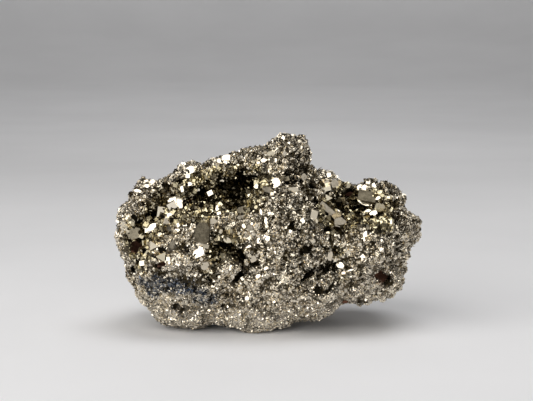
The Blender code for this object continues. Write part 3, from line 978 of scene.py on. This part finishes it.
def crystal_material(name, roughness, ripples, mottle, waves):
    """Metal in silver or gold. Mottle varies the tone within a face and waves bend it."""
    material = bpy.data.materials.new(name)
    n = Nodes(material)
    golden, blue, fine = (n.attribute(key) for key in ("golden", "blue", "fine"))
    speckle = n.spread(n.noise(*SPECKLE), *MOST_NOISE, -mottle, mottle)
    cloud = n.spread(n.noise(*CLOUD), *MOST_NOISE, -mottle, mottle)
    tone = n.math("ADD", n.attribute("tone"), n.math("ADD", speckle, cloud))
    silver = n.mix(n.spread(tone, *SILVER_TONES, 0.0, 1.0), SILVER, WARM)
    gold = n.mix(n.spread(tone, *GOLD_TONES, 0.0, 1.0), GOLD, DEEP_GOLD)
    start = n.spread(golden, 0.0, 1.0, *DARK_FROM)
    start = n.math("ADD", start, n.spread(fine, 0.0, 1.0, 0.0, DARK_FROM_FINE))
    dark = n.spread(n.math("SUBTRACT", tone, start), 0.0, DARK_SPREAD, 0.0, MOST_DARK)
    colour = n.mix(golden, silver, gold)
    # Paler in fine places: partly their own colour, partly painted bounce light from the floor.
    colour = n.mix(n.math("MULTIPLY", fine, FINE_PALE), colour, PALE)
    colour = n.mix(dark, colour, DARK)
    # Painted shade: darker where the lump encloses a crystal, in shadow places and in gaps and marks.
    colour = n.mix(n.spread(n.attribute("shade"), *PAINTED_SHADE_SPAN, 0.0, MOST_PAINTED_SHADE), colour, PAINTED_SHADE)
    colour = n.mix(n.attribute("red"), colour, MAROON)
    stain = n.spread(n.noise(*STAIN), *STAINED, 0.0, MOST_STAIN)
    colour = n.mix(n.math("MULTIPLY", blue, stain), colour, BLUE)
    rough = n.spread(n.noise(*POLISH), *MOST_NOISE, roughness - SMOOTHER, roughness + ROUGHER)
    rough = n.math("ADD", rough, n.math("MULTIPLY", fine, ROUGHER_FINE))
    under = {"Normal": n.bump(waves, WAVE_HEIGHT, n.noise(*WAVE))} if waves else {}
    normal = n.bump(ripples, RIPPLE_HEIGHT, n.noise(*RIPPLE), **under)
    looks = {"Base Color": colour, "Roughness": rough, "Metallic": 1.0, "Normal": normal}
    n.put(n.shader, looks)
    return material


# Painted shade between the crystals, and paler fine places that are partly painted bounce light from
# the floor.
def skin_material():
    material = bpy.data.materials.new("pyrite_between_crystals")
    n = Nodes(material)
    blotch = n.spread(n.noise(*BLOTCH), *BLOTCHY, 0.0, 1.0)
    fine = n.math("MULTIPLY", n.attribute("fine"), FINE_PALE)
    outside = n.mix(fine, n.mix(blotch, *BETWEEN), BETWEEN_FINE)
    colour = n.mix(n.attribute("golden"), outside, n.mix(blotch, *BETWEEN_GOLD))
    # Painted shade: the skin darkens where it is pressed into gaps and marks.
    colour = n.mix(n.attribute("deep"), colour, PAINTED_SHADE)
    normal = n.bump(GRIT_STRENGTH, GRIT_HEIGHT, n.noise(*GRIT))
    looks = {"Base Color": colour, "Roughness": BETWEEN_ROUGH, "Metallic": 1.0, "Normal": normal}
    n.put(n.shader, looks)
    return material


# Single crystals that the eye finds. Their faces stand this much over the skin, at least
# and at most, in millimetres, once they clear it for this share of the places tried.
KEY_PLACE = Vector((-0.42, -0.50, 0.50))
LIFT_MORE, LEAST_LIFT, MOST_LIFT = 0.12, 0.30, 3.6
SINGLE_CLEAR = 0.78
PLACES_TRIED = (-0.42, 0.0, 0.42)
SINGLE_DEPTH = 0.8
SINGLE_ROOT = 0.8

# Directions that a face can mirror towards the camera.
MIRRORED = {
    "key": KEY_PLACE,
    "floor": Vector((0.0, -0.6, -0.15)),
    "left": Vector((-0.7, -0.25, -0.05)),
    "above": Vector((0.10, -0.45, 0.42)),
    "dark": Vector((0.3, -0.5, 0.75)),
}

# Single crystals, by their form and what they mirror: place in the photograph, width and
# height in millimetres and roll, then golden, tone and red where they aren't the usual.
USUAL_LOOKS = [0.0, 0.1, 0]
SINGLES = {}
SINGLES["cube", "above"] = {
    "brown_right": (381, 276, 3.3, 2.1, -38, 1, 0.72, 1),
}
# Near-black faces at tone 0.99, in pits and cracks: painted shade.
SINGLES["cube", "dark"] = {
    "black_right": (387, 282, 1.5, 1.5, -40, 0.9, 0.99),
    "square_black": (318, 291, 2.7, 1.6, -14, 0.9, 0.99),
    "line_black": (359, 267, 1.1, 0.8, 20, 0.9, 0.99),
    "curl_black": (331, 286, 0.9, 1.9, -38, 0.9, 0.99),
}
SINGLES["cube", "floor"] = {
    "slab_edge": (204, 246, 2.6, 1.1, -12, 0.2, 0.61),
    "cluster_3": (172, 206, 2.4, 2, 30, 0, 0),
    "beige_face": (161, 212, 2, 3, -8, 0.3, 0),
    "core_lilac": (242, 217, 2.2, 1, 10, 0, 0.69),
    "over_slit": (285, 179, 2.4, 1.2, 12, 0.5, 0.59),
    "right_big_cube": (367, 196, 5, 2.9, -10, 0.6, 0.63),
    "blade": (331, 212, 1.5, 7.8, 49, 0, 0.68),
    "olive_face": (322, 212, 1.4, 1.8, 10, 1, 0.57),
    "olive_face_low": (328, 219, 1.6, 2, 10, 1, 0.59),
    "right_beige_top": (327, 189, 2.2, 1.2, 15, 0.4),
    "hollow_right_strip": (348, 210, 1.8, 0.9, -30),
    "low_right_cream": (335, 259, 0.8, 1.6, 5, 0.3, 0),
    "pale_by_black": (161, 188, 0.9, 2.2, 25, 0.3),
}
SINGLES["cube", "key"] = {
    "cluster_1": (172, 200, 2.5, 2.4, 12),
    "cluster_5": (176, 198, 1.9, 1.5, -20),
    "kidney_tail": (149, 230, 2.4, 1.3, 8),
    "bright_low_left": (143, 263, 2, 1.4, 10),
    "white_by_ledge": (168, 259, 0.9, 1.2, 10),
    "bright_streak": (184, 225, 1.7, 0.6, 4, 0.1),
    "bright_streak_left": (178, 225, 0.8, 1, 30, 0.2),
    "second_top_low": (187, 176, 1.7, 1, -5, 0.1),
    "streak_second": (182, 189, 0.8, 1.7, 20, 0.1),
    "hollow_bright": (210, 193, 1.5, 1.4, 30, 0.1),
    "hollow_low": (219, 214, 1.1, 1.3, 20, 0.1),
    "hollow_low_left": (217, 208, 1, 1.5, 25, 0.2),
    "rim_bright": (257, 187, 1.7, 1.2, -40, 0.3),
    "rim_small": (250, 196, 1.1, 1.3, 30, 0.1),
    "summit_white": (264, 160, 1.7, 1.2, 40),
    "right_white_small": (373, 186, 1.5, 1.5, 30),
    "right_top_glint": (329, 175, 1.2, 1.2, 25),
    "low_right_line": (351, 270, 2.6, 0.4, 18),
    "low_right_dash": (343, 273, 1.3, 0.7, 12),
    "right_wall_white": (365, 234, 1.1, 1.6, 15),
}
SINGLES["cube", "left"] = {
    "yellow_streak": (143, 244, 0.5, 2, 8, 1, 0),
    "right_cream": (365, 217, 1.2, 1.2, 40, 0.8, 0),
}
SINGLES["half_cut", "above"] = {
    "maroon_left": (136, 247, 3, 3.5, 10, 1, 0.5, 1),
    "maroon_low": (162, 264, 2.5, 1.1, 4, 1, 0.5, 1),
    "maroon_right": (350, 194, 2.6, 1.2, 10, 1, 0.6, 1),
}
# Near-black faces at tone 0.99, in pits and gaps: painted shade.
SINGLES["half_cut", "dark"] = {
    "black_right_end": (391, 283, 1.3, 0.9, 10, 0.9, 0.99),
    "black_polygon": (242, 255, 2.4, 3.2, 10, 0.9, 0.99),
    "belly_black": (305, 251, 2.3, 1.3, -25, 0.9, 0.99),
    "edge_black": (134, 217, 1.4, 2.2, 20, 0.9, 0.99),
}
SINGLES["half_cut", "floor"] = {
    "lilac_band": (172, 247, 1.4, 4, -14, 0, 0.73),
    "hollow_dash": (222, 181, 1.4, 0.7, 3, 0.2, 0),
    "hollow_small": (198, 190, 1, 1.1, 20, 0.1, 0),
    "hollow_gold_top": (245, 173, 1.3, 1.1, 25, 0.8, 0),
    "pocket_cream": (227, 240, 2.6, 1.5, -25, 0.6, 0),
    "below_hexagon": (268, 190, 3, 1.6, -12, 0.1, 0.69),
    "rust_in_hollow": (191, 201, 1.2, 1.2, 20, 1, 0.3, 1),
    "shoulder_lilac_left": (327, 183, 1.5, 1.7, -15, 0, 0.62),
    "shoulder_lilac_end": (304, 177, 1.6, 2, 0, 0, 0.68),
    "stain": (345, 302, 1.8, 0.8, 4, 1, 0.4, 1),
}
SINGLES["half_cut", "key"] = {
    "left_white_low": (170, 216, 2.2, 1.8, 50, 0.1),
    "kidney": (152, 227, 3.6, 1.8, 32),
    "under_second": (189, 184, 1.8, 1.1, 10, 0.2),
    "third_top_left": (219, 161, 1, 1.2, 35),
    "hollow_gold": (214, 188, 2, 1.3, -20, 0.5),
    "summit_glint": (283, 138, 1, 1.6, 10, 0.1),
    "right_big_front": (365, 203, 4.2, 1.3, -16, 0.4),
    "right_side_small": (378, 198, 1.5, 0.9, 35, 0.1),
    "right_bright": (368, 211, 1.8, 1, 12, 0.1),
    "right_bright_low": (374, 213, 2.6, 1.4, 12),
    "low_right_bright": (340, 265, 2.4, 1.6, -15),
    "pocket_gold": (218, 238, 1, 1.5, 10, 0.9, 0),
    "belly_white": (266, 221, 0.9, 2.2, 13),
    "belly_white_low": (259, 240, 1.2, 2, -15),
    "belly_white_foot": (258, 276, 1.4, 1.2, 30),
    "belly_white_crack": (266, 268, 1.3, 0.9, 30),
    "belly_streak": (250, 246, 2.6, 0.6, 26),
    "belly_streak_top": (261, 212, 0.7, 1.8, 20),
    "low_white": (247, 298, 1.4, 1.2, -45),
    "left_lobe_white_low": (147, 186, 1.7, 0.9, -18),
    "left_lobe_streak": (138, 191, 2.3, 0.9, -12),
    "left_gap_white": (140, 230, 0.8, 1.3, 40, 0.1),
    "right_streak": (391, 223, 0.6, 2, 0, 0.1),
}
SINGLES["octahedron", "above"] = {
    "rim_triangle": (249, 191, 2.8, 2.6, 30, 0.8, 0.3),
}
# A near-black face at tone 0.99 in a gap of the hollow: painted shade.
SINGLES["octahedron", "dark"] = {
    "left_triangle": (163, 217, 1.9, 1.9, 20, 0.9, 0.99),
}
SINGLES["octahedron", "floor"] = {
    "beige_triangle": (153, 246, 2.6, 2.6, 10, 0.4),
    "beige_triangle_low": (162, 257, 3, 2.6, 70, 0.6, 0.2),
    "right_beige": (328, 198, 2.5, 1.6, 15, 0.5),
}
SINGLES["octahedron", "key"] = {
    "hollow_right_bright": (338, 211, 1.5, 0.7, 12, 0.1),
    "far_right_white": (381, 249, 1.5, 1.1, 30),
}
SINGLES["pyritohedron", "floor"] = {
    "grey_green_left": (134, 234, 3.9, 3.9, 20, 0.5, 0.6),
    "blade_end": (340, 223, 3, 3.3, -10, 0, 0.67),
}
# Those at tone 0.99 are near-black faces in pits: painted shade.
SINGLES["truncated", "dark"] = {
    "black_left": (163, 250, 2.3, 2.3, 15, 0.8, 0.99),
    "teal_dark": (187, 249, 1.6, 2, 15, 0, 0.9),
    "black_pit_face": (167, 186, 2.1, 2.6, 8, 0.5, 0.99),
}
SINGLES["truncated", "floor"] = {
    "grey_slab": (202, 234, 3.9, 6.3, -6, 0.5, 0.69),
    "slab_top_face": (213, 221, 2.4, 1.6, 15, 0.1, 0.55),
    "lilac_block": (205, 266, 2.3, 2.1, 20, 0, 0.6),
    "lilac_left": (167, 222, 1.9, 2.2, -20, 0, 0.64),
    "core_beige": (242, 210, 2.6, 1.9, 14, 0.4, 0.66),
    "lilac_middle": (250, 228, 1.4, 2, 5, 0, 0.68),
    "lilac_by_crack": (253, 259, 1.7, 1.7, 25, 0, 0.6),
    "under_slit": (293, 190, 3, 1.5, 4, 0.1, 0.55),
    "summit_green": (271, 154, 2.3, 1.6, 12, 0.5, 0.2),
    "right_khaki": (380, 207, 2.6, 2.6, 20, 0.6, 0.54),
    "lilac_right": (314, 215, 1.9, 2.6, -15, 0, 0.58),
    "low_right_lilac": (330, 256, 1.3, 2.6, -10, 0, 0.58),
    "shoulder_lilac": (335, 184, 2, 2.4, 10, 0, 0.67),
}
SINGLES["truncated", "key"] = {
    "white_block": (198, 252, 3.2, 2.9, 24),
    "cluster_2": (179, 200, 2.3, 2.4, -6, 0, 0.2),
    "cluster_4": (178, 206, 2.6, 2.1, 10),
    "second_top": (190, 170, 2.5, 2.1, 25),
    "third_top": (226, 158, 2.3, 1.8, 10),
    "hexagon": (275, 183, 2.9, 2.6, 30),
    "right_white": (360, 188, 1.6, 2, 10),
    "right_white_right": (365, 188, 1.7, 1.9, 35),
    "belly_white_side": (244, 226, 1.3, 1, -50),
    "left_lobe_white": (152, 182, 1.6, 1.2, 40),
}


TIE_BREAK = 0.01  # of faces that point up alike, the one that leans to +Y counts


def front_of(form):
    """The turn that brings a face of a form to +Z, that face's distance and its width."""
    corners, faces = FORMS[form]
    best = None
    for row in (row for rows in faces for row in rows):
        a, b, c = corners[row[:3]]
        normal = np.cross(b - a, c - a)
        normal /= np.linalg.norm(normal)
        upward = normal[2] + TIE_BREAK * normal[1]
        if best is None or upward > best[0]:
            best = (upward, normal, row)
    _, normal, row = best
    turn = Vector(normal).rotation_difference(Vector((0.0, 0.0, 1.0)))
    flat = np.array([tuple(turn @ Vector(point)) for point in corners[row]])
    return turn, float(flat[:, 2].mean()), float(np.ptp(flat[:, :2], axis=0).mean())


def lift_over_skin(skin_tree, place, across, up, wide, high):
    """How far a face must stand before a place for most of it to clear the skin."""
    needed = []
    for one in PLACES_TRIED:
        for two in PLACES_TRIED:
            point = place + (across * one * wide + up * two * high) * MM
            distance = skin_tree.ray_cast(CAMERA, (point - CAMERA).normalized())[3]
            if distance is not None:
                needed.append((point - CAMERA).length - distance)
    lift = sorted(needed)[int(len(needed) * SINGLE_CLEAR)] / MM if needed else 0.0
    return min(max(lift + LIFT_MORE, LEAST_LIFT), MOST_LIFT)


def single_places(skin_tree):
    """Each single crystal's form, centre, turn, sides, looks, face middle and reach."""
    rows = []
    for (form, target), group in SINGLES.items():
        for px, py, wide, high, roll, *given in group.values():
            ray = picture_ray(px, py)
            place = skin_tree.ray_cast(CAMERA, ray)[0]
            if place is None:
                continue
            face = ((MIRRORED[target] - place).normalized() - ray).normalized()
            turn = face.to_track_quat("Z", "Y") @ Quaternion((0, 0, 1), math.radians(roll))
            across, up = turn @ Vector((1, 0, 0)), turn @ Vector((0, 1, 0))
            lift = lift_over_skin(skin_tree, place, across, up, wide, high)
            middle = place - ray * lift * MM
            sides = (wide, high, max(SINGLE_DEPTH * min(wide, high), lift + SINGLE_ROOT))
            half = sides[2] / 2
            if form in ("octahedron", "pyritohedron"):
                slope, away, span = front_of(form)
                turn = turn @ slope
                sides = ((wide + high) / 2 / span,) * 3
                half = away * sides[0]
            centre, turned = middle - face * half * MM, np.array(turn.to_matrix())
            golden, tone, red = given + USUAL_LOOKS[len(given):]
            looks = {"golden": golden, "tone": tone, "red": red}
            reach = (wide + high) / 4 * MM
            rows.append((form, centre, turned, np.array(sides) * MM, looks, middle, reach))
    return rows


def single_crystals(rows, material):
    for form in sorted({row[0] for row in rows}):
        chosen = [row for row in rows if row[0] == form]
        centres = np.array([tuple(row[1]) for row in chosen])
        rotations = np.array([row[2] for row in chosen])
        sides = np.array([row[3] for row in chosen])
        looks = {key: np.array([row[4][key] for row in chosen]) for key in chosen[0][4]}
        piece = crystal_piece("single_%s" % form, form, centres, rotations, sides, looks, material)


# Lights: place, size, power in watts and colour. Four more light the floor far out.
WHITE = (1.0, 1.0, 1.0)
LIGHTS = {
    "key": (KEY_PLACE, 0.90, 5.9, (1.0, 0.98, 0.95)),
    "top": ((0.12, 0.05, 0.75), 0.50, 2.2, WHITE),
    "fill": ((0.65, -0.35, 0.30), 0.30, 0.12, (0.98, 0.98, 1.0)),
    "back": ((0.1, 0.65, 0.45), 0.4, 0.4, WHITE),
    "card": ((-0.18, -0.80, 0.08), 0.45, 1.5, WHITE),
}
AIM = Vector((0.0, 0.0, 0.025))
BACKDROPS, BACKDROP_SIZE, BACKDROP_POWER = 4, 0.8, 3.0
BACKDROP_RAYS = ((0.9, 0.8), (2.0, 0.15))  # how far out and how high each starts and aims

# The floor's rings, as radius and height, and the sky's brightness by height, with broad
# patches between two strengths.
FLOOR_RINGS = ((1.0, 0.0), (1.4, 0.02), (1.7, 0.08), (1.9, 0.19), (2.0, 0.34))
FLOOR_STEPS = 96
SKY = ((0.0, 0.55), (0.2, 0.42), (0.42, 0.04), (1.0, 0.10))
SKY_TINT = (1.0, 0.985, 0.965)
SKY_PATCHES = (0.42, 0.58, 0.15, 2.0)
SKY_NOISE = {"Scale": 2.4, "Detail": 1.0}


def area_light(name, place, size, energy, colour=WHITE, aim=AIM):
    data = bpy.data.lights.new(name, "AREA")
    data.size = size
    data.energy = energy
    data.color = colour
    lamp = bpy.data.objects.new(name, data)
    lamp.location = place
    lamp.visible_camera = False
    lamp.rotation_euler = (aim - Vector(place)).to_track_quat("-Z", "Y").to_euler()
    bpy.context.scene.collection.objects.link(lamp)


def lights():
    for name, row in LIGHTS.items():
        area_light(name, *row)
    for step in range(BACKDROPS):
        angle = math.tau * step / BACKDROPS
        way = Vector((math.sin(angle), math.cos(angle), 0.0))
        place, aim = (way * out + Vector((0, 0, height)) for out, height in BACKDROP_RAYS)
        area_light("backdrop_%d" % step, place, BACKDROP_SIZE, BACKDROP_POWER, aim=aim)


def floor():
    """A pale floor that rises far out all round, so that no horizon shows."""
    angles = [math.tau * step / FLOOR_STEPS for step in range(FLOOR_STEPS)]
    points = [
        (radius * math.cos(angle), radius * math.sin(angle), height)
        for radius, height in FLOOR_RINGS for angle in angles
    ]
    around = np.arange(FLOOR_STEPS)
    after = (around + 1) % FLOOR_STEPS
    sides = [
        np.stack([around, around + FLOOR_STEPS, after + FLOOR_STEPS, after], axis=1)
        + ring * FLOOR_STEPS for ring in range(len(FLOOR_RINGS) - 1)
    ]
    material = bpy.data.materials.new("pale_floor")
    n = Nodes(material)
    shade = n.spread(n.noise(*FLOOR_PATCH), *MOST_NOISE, 0.0, 1.0)
    n.put(n.shader, {"Base Color": n.mix(shade, *FLOOR), "Roughness": FLOOR_ROUGH})
    thing = mesh_object("floor", points, [around[None], *sides], {}, material, flat=False)


def world():
    """A dim studio all round, lightest low down, with broad soft patches."""
    made = bpy.data.worlds.new("studio")
    n = Nodes(made, "Background")
    where = n.add("TexCoord").outputs["Generated"]
    height = n.add("SeparateXYZ", {0: where}).outputs["Z"]
    ramp = n.add("ValToRGB", {"Fac": height})
    broad = n.add("TexNoise", {"Vector": where, **SKY_NOISE}).outputs["Fac"]
    strength = n.spread(broad, *SKY_PATCHES)
    n.put(n.shader, {"Color": ramp.outputs["Color"], "Strength": strength})
    stops = ramp.color_ramp.elements
    for index, (place, level) in enumerate(SKY):
        stop = stops[index] if index < 2 else stops.new(place)
        stop.position = place
        stop.color = (*(level * part for part in SKY_TINT), 1.0)
    bpy.context.scene.world = made


def camera():
    data = bpy.data.cameras.new("camera")
    data.lens = LENS
    data.sensor_width = SENSOR
    thing = bpy.data.objects.new("camera", data)
    thing.location = CAMERA
    thing.rotation_euler = (math.radians(CAMERA_TILT), 0.0, 0.0)
    bpy.context.scene.collection.objects.link(thing)
    bpy.context.scene.camera = thing


def spots_of(places):
    """Places with a radius and a depth as paths of one point."""
    return [(((px, py),), radius, depth) for px, py, radius, depth in places.values()]


def bumpy_skin():
    """The skin's points and triangles, with gold, gaps and how far each is pressed in."""
    points, triangles, normals = arrays_of(skin_mesh())
    triangles = biggest_body(points, triangles)
    golden = golden_at(points)
    points, gaps = raised(points, normals, golden, fine_at(points, normals))
    points, _ = sunk_marks(points, normals, triangles, spots_of(DENTS), *DENT_PRESS)
    marks = [*CRACKS.values(), *spots_of(PITS)]
    points, deep = sunk_marks(points, normals, triangles, marks, *MARK_PRESS)
    points = kept_in_box(nudged(points), BOX_MARGIN * MM, BOX_EASE * MM)
    return points, triangles, golden, gaps, deep


def fields_on(skin, tree, golden, sunk, deep, near):
    """What each point of the skin hands on to the crystals that stand there."""
    points, triangles, normals = skin
    fine = fine_at(points, normals)
    # Painted shade: darkens the crystals' colour where the lump encloses them, in shadow places and in
    # gaps and marks.
    shade = evened(shade_at(points, normals, tree), triangles, SHADE_ROUNDS)
    shade = np.maximum(shade, PLACE_SHADE * spots_at(points, SHADOW_PLACES))
    shade = np.maximum(shade, GAP_SHADE * sunk)
    coarser = 1.0 + COARSE_PATCH * noise_at(points, *COARSER) + COARSE_BACK * (1.0 - near)
    grain = coarser * (1.0 - FINE_LOSS * fine)
    grain *= 1.0 - MARK_LOSS * smooth_step(*MARK_DEPTH, deep)
    return {
        "golden": golden, "fine": fine, "blue": blue_at(points), "shade": shade, "grain": grain,
    }


def wanted_on(points, normals, fields, gaps, deep, near):
    """Where each kind of crystal grows, from 0 to 1 on each point of the skin."""
    golden, fine = fields["golden"], fields["fine"]
    bare = GAP_LOSS * smooth_step(*BARE_GAP, gaps)
    open_skin = (1.0 - smooth_step(*BARE_MARK, deep)) * (1.0 - bare)
    patchy = PATCH_MIDDLE + PATCH_SHARE * noise_at(points, *PATCHES)
    patchy = patchy + WIDE_SHARE * noise_at(points, *WIDE_PATCHES)
    open_skin *= smooth_step(*BARE_PATCH, patchy + FINE_SHARE * fine)
    outside = (1.0 - smooth_step(*OUTSIDE, golden)) * open_skin
    coarse = outside * (1.0 - fine)
    below = UNDERSIDE_LOSS * smooth_step(*UNDERSIDE, -normals[:, 2])
    front = np.maximum(near, BACK_SHARE) * (1.0 - below)
    return {
        "rough_front": outside * front * (1.0 - fine),
        "fine_front": outside * front * fine,
        "coarse_front": coarse * front,
        "coarse": coarse,
        "calm": outside * (1.0 - CALM_LOSS * fine),
        "fine": outside * fine,
        "inside": golden * open_skin,
    }


GOLDEN_FROM = 0.5  # from how much gold a triangle belongs to a hollow
BETWEEN_HOLLOWS = 5  # along X, in millimetres
SKINS = (
    ("lump_skin", MASS, "pyrite"),
    ("left_hollow_skin", LEFT, "golden_pyrite"),
    ("right_hollow_skin", RIGHT, "golden_pyrite"),
)


def skin_pieces(points, triangles, golden, looks):
    """The skin in three pieces, which take the place of the three solids."""
    part_of = np.where(golden[triangles].mean(axis=1) > GOLDEN_FROM, 1, 0)
    middle_x = points[triangles].mean(axis=1)[:, 0]
    part_of = np.where((part_of == 1) & (middle_x > BETWEEN_HOLLOWS * MM), 2, part_of)
    material = skin_material()
    for index, (name, node, slot) in enumerate(SKINS):
        used, new = np.unique(triangles[part_of == index], return_inverse=True)
        part_looks = {key: values[used] for key, values in looks.items()}
        faces = [new.reshape(-1, 3)]
        piece = mesh_object(name, points[used], faces, part_looks, material, flat=False)
        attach(piece, "root")
        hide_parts(node)


def main():
    points, triangles, golden, gaps, deep = bumpy_skin()
    normals = vertex_normals(points, triangles)
    skin_tree = BVHTree.FromPolygons([Vector(point) for point in points], triangles.tolist())
    near = 1.0 - smooth_step(*FRONT, points[:, 1] / MM)
    sunk = np.maximum(gaps, deep)
    skin = (points, triangles, normals)
    fields = fields_on(skin, skin_tree, golden, sunk, deep, near)
    outer, inner, large = (crystal_material(name, *row) for name, row in MATERIALS.items())
    skin_pieces(points, triangles, golden, {"golden": golden, "deep": sunk, "fine": fields["fine"]})
    singles = single_places(skin_tree)
    single_crystals(singles, large)
    kept_clear = [(np.array(row[5]), row[6]) for row in singles]
    wanted = wanted_on(points, normals, fields, gaps, deep, near)
    for name, row in GROUPS.items():
        in_hollow = row[2] == "inside"
        material = inner if in_hollow else outer
        for piece in scatter(name, row, skin, fields, kept_clear, wanted[row[2]], material):
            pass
    floor()
    world()
    camera()
    lights()
    bpy.context.scene.view_settings.view_transform = "Standard"


main()
